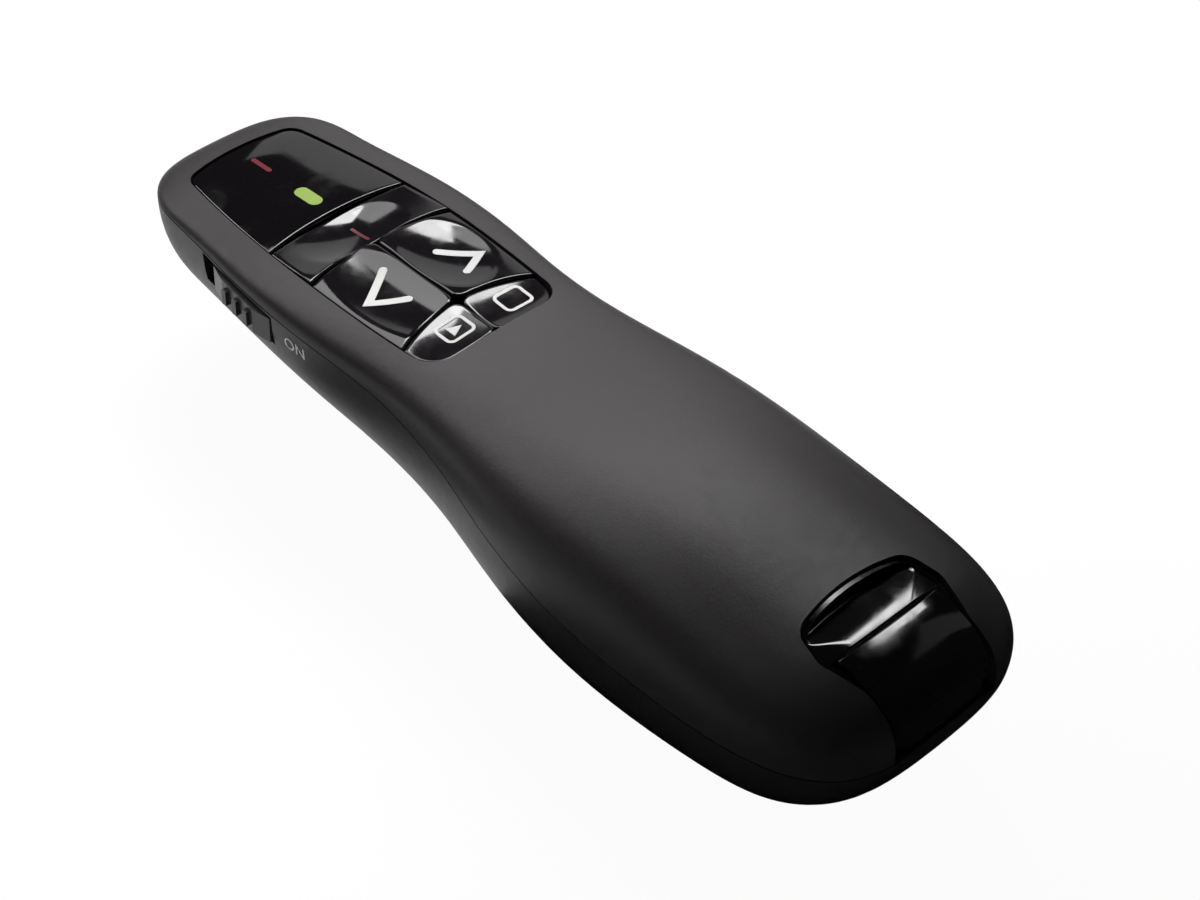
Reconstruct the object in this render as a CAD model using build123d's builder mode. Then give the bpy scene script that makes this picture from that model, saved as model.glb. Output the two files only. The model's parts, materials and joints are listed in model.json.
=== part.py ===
from build123d import *
import os

os.makedirs("parts", exist_ok=True)

# A hand-held presenter: a two-part casing, a row of gloss keys over a board with the
# laser under it, two AAA cells behind a sliding door, and a USB receiver in the tail.
# Millimetres. +Y runs to the laser end (the nose), +X to the holder's right, +Z up
# through the keys. The origin is on the resting plane, under the middle of the casing.

# ---- casing: length, walls and gaps ------------------------------------------------
body_length = 115.5
wall = 1.8
seam_gap = 0.15
tip_flat = 0.3
nose_end = body_length / 2
tail_end = -body_length / 2

# ---- casing: half width, top, base and seam height at six places --------------------
heel_y = tail_end + 11.75
heel_half = 18.1
heel_top = 24.2
heel_base = 2.6
heel_seam = 15.0

belly_y = tail_end + 30.75
belly_half = 18.1
belly_top = 25.95
belly_base = -0.3
belly_seam = 13.9

flare_y = tail_end + 43.75
flare_half = 17.5
flare_top = 25.6
flare_base = -0.15
flare_seam = 15.4

waist_y = nose_end - 50.75
waist_half = 14.15
waist_top = 24.15
waist_base = 3.0
waist_seam = 19.1

shoulder_y = nose_end - 29.75
shoulder_half = 14.8
shoulder_top = 23.5
shoulder_base = 6.4
shoulder_seam = 20.6

nose_y = nose_end - 9.75
nose_half = 12.85
nose_top = 22.1
nose_base = 6.8
nose_seam = 20.35

# ---- casing: how far each end is rounded, and how squarely --------------------------
tail_plan_round = 26.0
tail_plan_power = 3.5
tail_side_round = 14.6
tail_top_power = 3.3
nose_plan_round = 9.9
nose_plan_power = 2.5
nose_side_round = 11.9
nose_top_power = 4.0
base_power = 2.0
nose_centre_z = 17.5
tail_fullness = 0.67
crown_fullness = 0.785
nose_fullness = 0.71
base_fullness = 0.69

# ---- key panel, measured back from the nose ------------------------------------------
panel_front = nose_end - 4.4
panel_front_half = 7.8
panel_mid_half = 10.15
panel_rear_half = 9.35
panel_length = 46.3
panel_bow = 1.1
panel_front_corner = 2.2
panel_rear_corner = 3.4
window_length = 18.0
laser_key_length = 7.1
chevron_key_length = 14.3
seam_reach = 12.0
window_bow = 1.5
laser_bow = 2.2
chevron_bow = 3.4
panel_gap = 0.25
key_gap = 0.4
key_corner = 1.1
key_drop = 0.15
key_edge = 0.35
key_hollow = 0.9
key_skirt = 0.9
stem_radius = 1.5
stem_gap = 0.3
dish_depth = 0.75
dish_across = 10.0
dish_along = 22.0
laser_dish_radius = 9.0
laser_dish_depth = 0.9
laser_spot = 3.7
chevron_spot_x = 5.2
chevron_spot = 7.3
small_spot_x = 4.9
small_spot = 3.5

# ---- layers under the keys -----------------------------------------------------------
board_top = 17.0
board_thickness = 1.2
board_half = 10.4
board_tongue_half = 5.2
board_tongue = 5.0
board_nose_back = 7.2
board_overhang = 0.85
frame_base = 19.3
frame_thickness = 0.8
frame_lip = 1.4
frame_seat = 1.0
frame_gap = 0.35
key_base = 20.7
switch_width = 4.6
switch_height = 1.5
switch_floor = 0.2
plunger_radius = 1.1
plunger_foot = 0.55
plunger_top = 19.2
plunger_gap = 0.1
chip_width = 5.0
chip_height = 0.9
chip_y_back = 29.5
crystal_width = 3.2
crystal_length = 5.0
crystal_height = 1.3

# ---- status lights -------------------------------------------------------------------
green_light_length = 4.1
green_light_width = 1.8
red_light_length = 3.8
red_light_width = 1.1
green_light_back = 18.1
red_light_back = 9.45
light_fit = 0.06
light_chip_height = 0.7

# ---- power slider on the left flank --------------------------------------------------
slider_back = 23.75
slider_length = 11.2
slider_low = 16.4
slider_height = 3.4
slider_travel = 2.0
slider_gap = 0.35
slider_proud = 0.55
slider_ramp = 2.6
slider_inner = 0.7
slider_recess_depth = 1.1
rib_pitch = 2.1
rib_width = 0.7
rib_rise = 0.45
slider_stem_length = 3.0
slider_stem_height = 1.3
slider_stem_x = 11.6
lever_width = 1.4
lever_height = 1.0
lever_tip_x = 12.5
lever_root_x = 9.5
slide_switch_x = 7.7
slide_switch_width = 3.2
slide_switch_length = 8.4
slide_switch_height = 2.2
slot_gap = 0.3

# ---- cells, door and contacts ----------------------------------------------------------
cell_radius = 5.25
cell_length = 44.5
cell_nub_radius = 1.9
cell_nub_length = 1.0
cell_pitch = 11.0
cell_axis_z = 10.2
cell_relief = 0.35
spring_length = 2.6
spring_radius = 2.6
spring_wire = 0.35
spring_turns = 3
spring_sides = 6
contact_thickness = 0.4
contact_width = 7.6
contact_height = 6.0
bay_back = 11.3
bulkhead = 1.2
rail_thickness = 0.9
door_split_z = 7.5
door_gap = 0.15
tongue_width = 6.0
tongue_length = 2.0
tongue_root = 2.2
tongue_thickness = 0.9
tongue_gap = 0.12
grip_groove_width = 0.8
grip_groove_depth = 0.35
grip_groove_length = 9.0
grip_groove_pitch = 2.0

# ---- receiver and its dock -------------------------------------------------------------
receiver_half = 7.1
receiver_thickness = 5.4
receiver_length = 40.75
receiver_gap = 0.15
receiver_wall = 0.8
receiver_head = 8.75
receiver_round = 2.4
receiver_edge = 0.7
receiver_board_thickness = 0.8
plug_width = 12.0
plug_height = 4.5
plug_skin = 0.3
plug_reach = 14.0
plug_root = 4.0
plug_window = 2.4
tongue_height = 1.9
usb_contact_width = 1.0
usb_contact_length = 8.0
usb_contact_thickness = 0.2
usb_contact_pitch = 2.3
dock_floor = 0.6
dock_wall = 0.9
dock_roof = 0.4
dock_fit = 0.1
scoop_front_back = 14.65
scoop_bow = 1.1
scoop_front_half = 8.0
scoop_half = 8.9
scoop_wide_back = 9.5
scoop_neck_half = 7.45
scoop_neck_back = 4.4
scoop_corner = 2.4
scoop_rim = 0.45
scoop_drop = 0.5
scoop_fillet = 1.1
head_gap = 0.7

# ---- laser -----------------------------------------------------------------------------
laser_axis_z = 12.0
barrel_radius = 3.0
barrel_length = 13.0
barrel_bore = 2.2
barrel_lip = 0.6
barrel_back = 7.0
laser_fit = 0.05
aperture_radius = 2.0
aperture_window_radius = 3.0
aperture_window_thickness = 1.0
aperture_window_back = 4.6
aperture_ring = 0.8
aperture_ring_length = 3.2
lens_thickness = 0.9
diode_length = 2.6
diode_pin_radius = 0.25
diode_pin_length = 2.0
diode_pin_circle = 1.2
saddle_thickness = 1.4
saddle_half = 4.6
saddle_inset = 2.6

# ---- screws ----------------------------------------------------------------------------
screw_radius = 0.9
screw_head_radius = 1.9
screw_head_height = 1.2
screw_length = 5.5
screw_fit = 0.05
boss_radius = 2.6
post_radius = 2.0
pilot_gap = 0.3
front_boss_top = 11.0
seat_thickness = 1.4
counterbore_gap = 0.2
front_screw_x = 8.2
front_screw_ahead = 2.6
rear_screw_x = 13.8
rear_screw_back = 15.8
board_screw_x = 8.8
board_screw_radius = 0.8
board_screw_head_radius = 1.5
board_screw_head_height = 0.9
board_screw_length = 6.0
board_screw_rear = 7.7
board_screw_spacing = 26.9
standoff_radius = 2.0


# ======================================================================================
# Casing form
# ======================================================================================
places = [heel_y, belly_y, flare_y, waist_y, shoulder_y, nose_y]
half_widths = [heel_half, belly_half, flare_half, waist_half, shoulder_half, nose_half]
tops = [heel_top, belly_top, flare_top, waist_top, shoulder_top, nose_top]
bases = [heel_base, belly_base, flare_base, waist_base, shoulder_base, nose_base]
seams = [heel_seam, belly_seam, flare_seam, waist_seam, shoulder_seam, nose_seam]


def slope_at(i, values):
    """Slope of a smooth curve where it passes place number i."""
    low = max(i - 1, 0)
    high = min(i + 1, len(places) - 1)
    return (values[high] - values[low]) / (places[high] - places[low])


def smooth(y, values):
    """Height of a smooth curve through the values at the six places, straight beyond."""
    last = len(places) - 1
    if y <= places[0]:
        return values[0] + slope_at(0, values) * (y - places[0])
    if y >= places[last]:
        return values[last] + slope_at(last, values) * (y - places[last])
    i = max(k for k in range(last) if places[k] <= y)
    span = places[i + 1] - places[i]
    t = (y - places[i]) / span
    rise = values[i + 1] - values[i]
    lead = span * slope_at(i, values) - rise
    trail = rise - span * slope_at(i + 1, values)
    return values[i] + t * rise + t * (1 - t) * (lead * (1 - t) + trail * t)


def rounding(depth, length, power):
    """Share of the full size that is left at this depth into a rounded end."""
    share = min(max(depth / length, 0), 1)
    return (1 - share**power) ** (1 / power)


def casing_at(y, inset):
    """Half width, top, base, seam height and top fullness of the casing at y."""
    half = smooth(y, half_widths) - inset
    full_top = smooth(y, tops)
    full_base = smooth(y, bases)
    top = full_top - inset
    base = full_base + inset
    seam_share = (smooth(y, seams) - full_base) / (full_top - full_base)
    seam = base + (top - base) * seam_share
    tail_tip = tail_end + inset - tip_flat
    nose_tip = nose_end - inset + tip_flat
    if y < 0:
        half *= rounding(tail_tip + tail_plan_round - y, tail_plan_round, tail_plan_power)
        into = tail_tip + tail_side_round - y
        top = seam + (top - seam) * rounding(into, tail_side_round, tail_top_power)
        base = seam + (base - seam) * rounding(into, tail_side_round, base_power)
        fullness = tail_fullness + (crown_fullness - tail_fullness) * (1 - y / tail_end)
    else:
        half *= rounding(y - nose_tip + nose_plan_round, nose_plan_round, nose_plan_power)
        into = y - nose_tip + nose_side_round
        upper = rounding(into, nose_side_round, nose_top_power)
        lower = rounding(into, nose_side_round, base_power)
        top = nose_centre_z + (top - nose_centre_z) * upper
        seam = nose_centre_z + (seam - nose_centre_z) * upper
        base = nose_centre_z + (base - nose_centre_z) * lower
        fullness = crown_fullness
        if y > shoulder_y:
            along = (y - shoulder_y) / (nose_end - shoulder_y)
            fullness += (nose_fullness - crown_fullness) * along
    return half, top, base, seam, fullness


def casing_stations(inset):
    """Places of the sections, crowded together where the ends are rounded."""
    tail_steps = 8
    nose_steps = 6
    middle_steps = 7
    first = tail_end + inset
    last = nose_end - inset
    tail = [first + tail_plan_round * (i / tail_steps) ** 2 for i in range(tail_steps + 1)]
    nose = [last - nose_side_round * (i / nose_steps) ** 2 for i in range(nose_steps + 1)]
    step = (nose[-1] - tail[-1]) / middle_steps
    middle = [tail[-1] + step * i for i in range(1, middle_steps)]
    return tail + middle + nose[::-1]


def casing_body(inset, lift=0):
    """Solid of the whole casing, drawn in from its skin, its crown raised by the lift."""
    with BuildPart() as body:
        for y in casing_stations(inset):
            half, top, base, seam, full = casing_at(y, inset)
            top += lift
            crown = top - seam
            keel = seam - base
            with BuildSketch(Plane.XZ.offset(-y)):
                with BuildLine():
                    Bezier((half, seam), (half, seam + full * crown), (full * half, top), (0, top))
                    Bezier((0, top), (-full * half, top), (-half, seam + full * crown), (-half, seam))
                    Bezier(
                        (-half, seam),
                        (-half, seam - base_fullness * keel),
                        (-base_fullness * half, base),
                        (0, base),
                    )
                    Bezier(
                        (0, base),
                        (base_fullness * half, base),
                        (half, seam - base_fullness * keel),
                        (half, seam),
                    )
                make_face()
        loft()
    return body.part


def slab(low_z, high_z):
    """Everything between two heights."""
    with BuildPart() as space:
        with BuildSketch(Plane.XY.offset(low_z)):
            Rectangle(2 * body_length, 2 * body_length)
        extrude(amount=high_z - low_z)
    return space.part


def under_seam(shift):
    """Everything below the line where the two halves of the casing meet."""
    heights = [(y, casing_at(y, 0)[3] + shift) for y in casing_stations(0)[1:-1:2]]
    first = (tail_end - wall, heights[0][1])
    last = (nose_end + wall, heights[-1][1])
    floor = belly_base - body_length
    with BuildPart() as space:
        with BuildSketch(Plane.YZ):
            with BuildLine():
                Polyline(heights[0], first, (first[0], floor), (last[0], floor), last, heights[-1])
                Spline(*heights)
            make_face()
        extrude(amount=body_length, both=True)
    return space.part



def box_between(low, high):
    """Block between two corners."""
    size = [high[i] - low[i] for i in range(3)]
    middle = ((low[0] + high[0]) / 2, (low[1] + high[1]) / 2)
    with BuildPart() as block:
        with BuildSketch(Plane.XY.offset(low[2])):
            with Locations(middle):
                Rectangle(size[0], size[1])
        extrude(amount=size[2])
    return block.part


with BuildPart() as resting_form:
    add(casing_body(0))
    add(slab(-body_length, 0), mode=Mode.SUBTRACT)
outer = resting_form.part
inner = casing_body(wall)
mid_wall = casing_body(wall / 2)
lining = casing_body(wall + light_fit)
panel_skin = casing_body(key_drop)
far = 2 * body_length

# ======================================================================================
# Places that several pieces share
# ======================================================================================
panel_rear = panel_front - panel_length
window_rear = panel_front - window_length
laser_rear = window_rear - laser_key_length
chevron_rear = laser_rear - chevron_key_length
laser_place = (0, laser_rear + laser_spot)
previous_place = (-chevron_spot_x, chevron_rear + chevron_spot)
next_place = (chevron_spot_x, chevron_rear + chevron_spot)
slideshow_place = (-small_spot_x, panel_rear + small_spot)
blank_place = (small_spot_x, panel_rear + small_spot)
key_places = [laser_place, previous_place, next_place, slideshow_place, blank_place]

board_base = board_top - board_thickness
board_front = nose_end - board_nose_back
board_rear = panel_rear + board_overhang
board_screw_y = board_rear + board_screw_rear + board_screw_spacing / 2
green_light_y = nose_end - green_light_back
red_light_y = nose_end - red_light_back
lights = [
    (green_light_y, green_light_length, green_light_width),
    (red_light_y, red_light_length, red_light_width),
]

slider_y = nose_end - slider_back
slider_z = slider_low + slider_height / 2

bay_rear = tail_end + bay_back
bay_front = bay_rear + 2 * contact_thickness + spring_length + cell_length
bulkhead_front = bay_front + bulkhead
door_front = bulkhead_front + door_gap
left_cell_rear = bay_rear + contact_thickness + spring_length
right_cell_rear = bay_rear + contact_thickness
contact_low = door_split_z + 2 * door_gap
rail_x = cell_pitch / 2 + cell_radius + receiver_gap
dock_base = cell_axis_z + cell_radius + dock_fit

slot_base = dock_base + dock_floor
receiver_base = slot_base + receiver_gap
receiver_mid = receiver_base + receiver_thickness / 2
receiver_top = receiver_base + receiver_thickness
slot_top = receiver_top + receiver_gap
scoop_floor = slot_top + dock_roof
slot_half = receiver_half + receiver_gap
head_front = tail_end + receiver_head
receiver_front = tail_end + receiver_length
plug_tip = receiver_front + plug_reach
slot_front = plug_tip + receiver_gap
scoop_front = tail_end + scoop_front_back

front_screw_y = bulkhead_front + front_screw_ahead
rear_screw_y = tail_end + rear_screw_back
front_screws = [(-front_screw_x, front_screw_y), (front_screw_x, front_screw_y)]
rear_screws = [(-rear_screw_x, rear_screw_y), (rear_screw_x, rear_screw_y)]

barrel_front = nose_end - barrel_back
barrel_rear = barrel_front - barrel_length
window_face = nose_end - aperture_window_back


# ======================================================================================
# Outlines of the panel and of the scoop
# ======================================================================================
def panel_outline(grow):
    """Outline of the key panel, grown outwards by this much."""
    middle = (panel_front + panel_rear) / 2
    front_half = panel_front_half + grow
    mid_half = panel_mid_half + grow
    rear_half = panel_rear_half + grow
    front_y = panel_front + grow
    rear_y = panel_rear - grow
    with BuildSketch() as outline:
        with BuildLine():
            front = ThreePointArc(
                (-front_half, front_y - panel_bow), (0, front_y), (front_half, front_y - panel_bow)
            )
            right = ThreePointArc(front @ 1, (mid_half, middle), (rear_half, rear_y))
            rear = Line(right @ 1, (-rear_half, rear_y))
            ThreePointArc(rear @ 1, (-mid_half, middle), front @ 0)
        make_face()
        fillet(outline.vertices().group_by(Axis.Y)[-1], panel_front_corner + grow)
        fillet(outline.vertices().group_by(Axis.Y)[0], panel_rear_corner + grow)
    return outline.sketch


def seam_band(rear_y, rear_bow, front_y, front_bow):
    """Area between two bowed seams, short of each by half the gap between keys."""
    low = rear_y + key_gap / 2
    high = front_y - key_gap / 2
    with BuildSketch() as band:
        with BuildLine():
            rear = ThreePointArc(
                (-seam_reach, low - rear_bow), (0, low), (seam_reach, low - rear_bow)
            )
            front = ThreePointArc(
                (-seam_reach, high - front_bow), (0, high), (seam_reach, high - front_bow)
            )
            Line(rear @ 0, front @ 0)
            Line(rear @ 1, front @ 1)
        make_face()
    return band.sketch


def key_outline(band, side):
    """Part of the panel that lies in a band, on one side of the middle (0 for both)."""
    with BuildSketch() as outline:
        add(panel_outline(-panel_gap))
        add(band, mode=Mode.INTERSECT)
        if side:
            with Locations((side * (key_gap / 2 + seam_reach), 0)):
                Rectangle(2 * seam_reach, far, mode=Mode.INTERSECT)
            inner_corners = outline.vertices().filter_by(lambda v: abs(v.X) < key_gap)
            fillet(inner_corners, key_corner)
    return outline.sketch


def scoop_outline(grow):
    """Outline of the tail opening: a wide scoop that narrows to the receiver's end."""
    wide_y = tail_end + scoop_wide_back
    neck_y = tail_end + scoop_neck_back
    beyond = tail_end - wall
    with BuildSketch() as outline:
        with BuildLine():
            front = ThreePointArc(
                (-scoop_front_half, scoop_front - scoop_bow),
                (0, scoop_front),
                (scoop_front_half, scoop_front - scoop_bow),
            )
            Polyline(
                front @ 1,
                (scoop_half, wide_y),
                (scoop_neck_half, neck_y),
                (scoop_neck_half, beyond),
                (-scoop_neck_half, beyond),
                (-scoop_neck_half, neck_y),
                (-scoop_half, wide_y),
                front @ 0,
            )
        make_face()
        corners = outline.vertices().filter_by(lambda v: v.Y > beyond)
        fillet(corners, scoop_corner)
        if grow:
            offset(amount=grow)
    return outline.sketch


window_outline = key_outline(
    seam_band(window_rear, window_bow, panel_front + panel_length, window_bow), 0
)
laser_outline = key_outline(seam_band(laser_rear, laser_bow, window_rear, window_bow), 0)
chevron_band = seam_band(chevron_rear, chevron_bow, laser_rear, laser_bow)
small_band = seam_band(panel_rear - panel_length, chevron_bow, chevron_rear, chevron_bow)


# ======================================================================================
# Window and light guides
# ======================================================================================
with BuildPart() as window_panel:
    with BuildSketch(Plane.XY.offset(frame_base)):
        add(window_outline)
    extrude(amount=belly_top)
    add(panel_skin, mode=Mode.INTERSECT)
    add(inner, mode=Mode.SUBTRACT)
    for y, length, width in lights:
        with BuildSketch(Plane.XY.offset(frame_base)):
            with Locations((0, y)):
                SlotOverall(length + 2 * light_fit, width + 2 * light_fit, rotation=90)
        extrude(amount=belly_top, mode=Mode.SUBTRACT)
window_panel.part.label = "window_panel"
export_step(window_panel.part, "parts/window_panel.step")


def light_guide(y, length, width):
    """Clear bar that carries the light of a chip up to the face of the window."""
    with BuildPart() as guide:
        with BuildSketch(Plane.XY.offset(board_top + light_chip_height)):
            with Locations((0, y)):
                SlotOverall(length, width, rotation=90)
        extrude(amount=belly_top)
        add(panel_skin, mode=Mode.INTERSECT)
    return guide.part


green_light_guide = light_guide(green_light_y, green_light_length, green_light_width)
green_light_guide.label = "green_light_guide"
export_step(green_light_guide, "parts/green_light_guide.step")

red_light_guide = light_guide(red_light_y, red_light_length, red_light_width)
red_light_guide.label = "red_light_guide"
export_step(red_light_guide, "parts/red_light_guide.step")


# ======================================================================================
# Keys
# ======================================================================================
def key_cap(outline, place):
    """Skirted cap whose top follows the casing, with a stem that stands on its switch."""
    with BuildPart() as cap:
        with BuildSketch(Plane.XY.offset(key_base)):
            add(outline)
        extrude(amount=belly_top)
        add(panel_skin, mode=Mode.INTERSECT)
        rim = cap.edges().filter_by(
            lambda e: e.center().Z > key_base + key_hollow
            and abs(e.tangent_at(0.5).Z) < 0.5
            and max(abs((e @ 0).X), abs((e @ 1).X)) > key_gap
        )
        fillet(rim, key_edge)
        with BuildSketch(Plane.XY.offset(key_base)):
            add(outline)
            offset(amount=-key_skirt)
        extrude(amount=key_hollow, mode=Mode.SUBTRACT)
        with BuildSketch(Plane.XY.offset(plunger_top)):
            with Locations(place):
                Circle(stem_radius)
        extrude(amount=key_base + key_hollow - plunger_top)
    return cap.part


def dished_key(outline, place):
    """Key cap with an oval hollow for the thumb."""
    floor_z = casing_at(place[1], key_drop)[1] - dish_depth
    with BuildPart() as key:
        add(key_cap(outline, place))
        with Locations(Location((place[0], place[1], floor_z + dish_along), (0, 90, 0))):
            Torus(dish_along - dish_across, dish_across, mode=Mode.SUBTRACT)
    return key.part


previous_button = dished_key(key_outline(chevron_band, -1), previous_place)
previous_button.label = "previous_button"
export_step(previous_button, "parts/previous_button.step")

next_button = dished_key(key_outline(chevron_band, 1), next_place)
next_button.label = "next_button"
export_step(next_button, "parts/next_button.step")

slideshow_button = key_cap(key_outline(small_band, -1), slideshow_place)
slideshow_button.label = "slideshow_button"
export_step(slideshow_button, "parts/slideshow_button.step")

blank_button = key_cap(key_outline(small_band, 1), blank_place)
blank_button.label = "blank_button"
export_step(blank_button, "parts/blank_button.step")

with BuildPart() as laser_button:
    add(key_cap(laser_outline, laser_place))
    laser_floor_z = casing_at(laser_place[1], key_drop)[1] - laser_dish_depth
    with Locations((laser_place[0], laser_place[1], laser_floor_z + laser_dish_radius)):
        Sphere(laser_dish_radius, mode=Mode.SUBTRACT)
laser_button.part.label = "laser_button"
export_step(laser_button.part, "parts/laser_button.step")


# ======================================================================================
# Frame, board and switches
# ======================================================================================
with BuildPart() as keypad_frame:
    with BuildSketch(Plane.XY.offset(frame_base)):
        add(panel_outline(frame_lip))
        with Locations(*key_places):
            Circle(stem_radius + stem_gap, mode=Mode.SUBTRACT)
    extrude(amount=frame_thickness)
    with BuildSketch(Plane.XY.offset(frame_base + frame_thickness)):
        add(panel_outline(frame_lip))
        add(panel_outline(frame_gap), mode=Mode.SUBTRACT)
    extrude(amount=belly_top)
    with BuildSketch(Plane.XY.offset(frame_base + frame_thickness)):
        add(window_outline)
        add(panel_outline(-frame_seat), mode=Mode.SUBTRACT)
    extrude(amount=belly_top)
    add(lining, mode=Mode.INTERSECT)
    for y, length, width in lights:
        with BuildSketch(Plane.XY.offset(frame_base)):
            with Locations((0, y)):
                SlotOverall(length + 2 * light_fit, width + 2 * light_fit, rotation=90)
        extrude(amount=belly_top, mode=Mode.SUBTRACT)
    with BuildSketch(Plane.XY.offset(frame_base)):
        with Locations(*front_screws):
            Circle(post_radius + receiver_gap)
    extrude(amount=belly_top, mode=Mode.SUBTRACT)
keypad_frame.part.label = "keypad_frame"
export_step(keypad_frame.part, "parts/keypad_frame.step")

with BuildPart() as main_board:
    shoulder_front = board_front - board_tongue
    with BuildSketch(Plane.XY.offset(board_base)):
        with Locations((0, (shoulder_front + board_rear) / 2)):
            Rectangle(2 * board_half, shoulder_front - board_rear)
        with Locations((0, (board_front + board_rear) / 2)):
            Rectangle(2 * board_tongue_half, board_front - board_rear)
        with Locations((0, board_screw_y)):
            with GridLocations(2 * board_screw_x, board_screw_spacing, 2, 2):
                Circle(board_screw_radius + screw_fit, mode=Mode.SUBTRACT)
    extrude(amount=board_thickness)
main_board.part.label = "main_board"
export_step(main_board.part, "parts/main_board.step")

with BuildPart() as key_switches:
    with BuildSketch(Plane.XY.offset(board_top)):
        with Locations(*key_places):
            Rectangle(switch_width, switch_width)
    extrude(amount=switch_height)
    with BuildSketch(Plane.XY.offset(board_top + switch_floor)):
        with Locations(*key_places):
            Circle(plunger_radius + plunger_gap)
    extrude(amount=switch_height, mode=Mode.SUBTRACT)
key_switches.part.label = "key_switches"
export_step(key_switches.part, "parts/key_switches.step")

plunger_names = ["laser", "previous", "next", "slideshow", "blank"]
for name, place in zip(plunger_names, key_places):
    foot_z = board_top + switch_floor + plunger_foot
    with BuildPart() as plunger:
        with BuildSketch(Plane.XY.offset(foot_z)):
            with Locations(place):
                Circle(plunger_radius)
        extrude(amount=plunger_top - foot_z)
    plunger.part.label = name + "_plunger"
    export_step(plunger.part, "parts/" + name + "_plunger.step")

with BuildPart() as status_lights:
    with BuildSketch(Plane.XY.offset(board_top)):
        for y, length, width in lights:
            with Locations((0, y)):
                Rectangle(width, length)
    extrude(amount=light_chip_height)
status_lights.part.label = "status_lights"
export_step(status_lights.part, "parts/status_lights.step")

with BuildPart() as radio_chip:
    with BuildSketch(Plane.XY.offset(board_top)):
        with Locations((0, nose_end - chip_y_back - chip_width)):
            Rectangle(chip_width, chip_width)
    extrude(amount=chip_height)
radio_chip.part.label = "radio_chip"
export_step(radio_chip.part, "parts/radio_chip.step")

with BuildPart() as crystal_can:
    with BuildSketch(Plane.XY.offset(board_top)):
        with Locations((0, chevron_rear)):
            SlotOverall(crystal_length, crystal_width, rotation=90)
    extrude(amount=crystal_height)
crystal_can.part.label = "crystal_can"
export_step(crystal_can.part, "parts/crystal_can.step")


# ======================================================================================
# Power slider, its switch and the flank recess
# ======================================================================================
def flank_x(y):
    """Left face of the casing at its widest line."""
    return -casing_at(y, 0)[0]


slider_rear_y = slider_y - slider_length / 2
slider_front_y = slider_y + slider_length / 2
rear_ramp_y = slider_rear_y + slider_ramp
front_ramp_y = slider_front_y - slider_ramp

with BuildPart() as power_slider:
    with BuildSketch(Plane.XY.offset(slider_low)):
        with BuildLine():
            Polyline(
                (flank_x(slider_rear_y) + slider_inner, slider_rear_y),
                (flank_x(slider_rear_y), slider_rear_y),
                (flank_x(rear_ramp_y) - slider_proud, rear_ramp_y),
                (flank_x(front_ramp_y) - slider_proud, front_ramp_y),
                (flank_x(slider_front_y), slider_front_y),
                (flank_x(slider_front_y) + slider_inner, slider_front_y),
                close=True,
            )
        make_face()
    extrude(amount=slider_height)
    with BuildSketch(Plane.XY.offset(slider_low + rib_width)):
        for step in (-1, 0, 1):
            rib_y = slider_y + step * rib_pitch
            with Locations((flank_x(rib_y) - slider_proud, rib_y)):
                Rectangle(2 * rib_rise, rib_width)
    extrude(amount=slider_height - 2 * rib_width)
    stem_low = slider_z - slider_stem_height / 2
    with BuildSketch(Plane.XY.offset(stem_low)):
        with Locations(((flank_x(slider_y) - slider_stem_x) / 2, slider_y)):
            Rectangle(-flank_x(slider_y) - slider_stem_x, slider_stem_length)
        with Locations((-slider_stem_x, slider_y)):
            Rectangle(2 * (lever_tip_x - slider_stem_x), lever_width, mode=Mode.SUBTRACT)
    extrude(amount=slider_stem_height)
power_slider.part.label = "power_slider"
export_step(power_slider.part, "parts/power_slider.step")

with BuildPart() as slide_switch_lever:
    with BuildSketch(Plane.XY.offset(slider_z - lever_height / 2)):
        with Locations((-(lever_tip_x + lever_root_x) / 2, slider_y)):
            Rectangle(lever_tip_x - lever_root_x, lever_width)
    extrude(amount=lever_height)
slide_switch_lever.part.label = "slide_switch_lever"
export_step(slide_switch_lever.part, "parts/slide_switch_lever.step")

with BuildPart() as slide_switch_body:
    with BuildSketch(Plane.XY.offset(board_top)):
        with Locations((-slide_switch_x - slide_switch_width / 2, slider_y)):
            Rectangle(slide_switch_width, slide_switch_length)
    extrude(amount=slide_switch_height)
    with BuildSketch(Plane.XY.offset(slider_z - lever_height / 2 - plunger_gap)):
        with Locations((-lever_root_x - slide_switch_width / 2, slider_y + slider_travel / 2)):
            slot_length = lever_width + slider_travel + 4 * plunger_gap
            Rectangle(slide_switch_width + 2 * plunger_gap, slot_length)
    extrude(amount=lever_height + 2 * plunger_gap, mode=Mode.SUBTRACT)
slide_switch_body.part.label = "slide_switch_body"
export_step(slide_switch_body.part, "parts/slide_switch_body.step")


# ======================================================================================
# Laser
# ======================================================================================
def rod(radius, low_y, high_y, axis_x=0, axis_z=laser_axis_z):
    """Round bar that lies along the casing."""
    with BuildPart() as bar:
        with BuildSketch(Plane.XZ.offset(-low_y)):
            with Locations((axis_x, axis_z)):
                Circle(radius)
        extrude(amount=low_y - high_y)
    return bar.part


with BuildPart() as laser_barrel:
    add(rod(barrel_radius, barrel_rear, barrel_front))
    add(rod(barrel_bore, barrel_rear, barrel_front - barrel_lip), mode=Mode.SUBTRACT)
    add(rod(barrel_bore - barrel_lip, barrel_rear, barrel_front), mode=Mode.SUBTRACT)
laser_barrel.part.label = "laser_barrel"
export_step(laser_barrel.part, "parts/laser_barrel.step")

with BuildPart() as laser_lens:
    lens_face = barrel_front - barrel_lip
    add(rod(barrel_bore - laser_fit, lens_face - lens_thickness, lens_face))
laser_lens.part.label = "laser_lens"
export_step(laser_lens.part, "parts/laser_lens.step")

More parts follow.
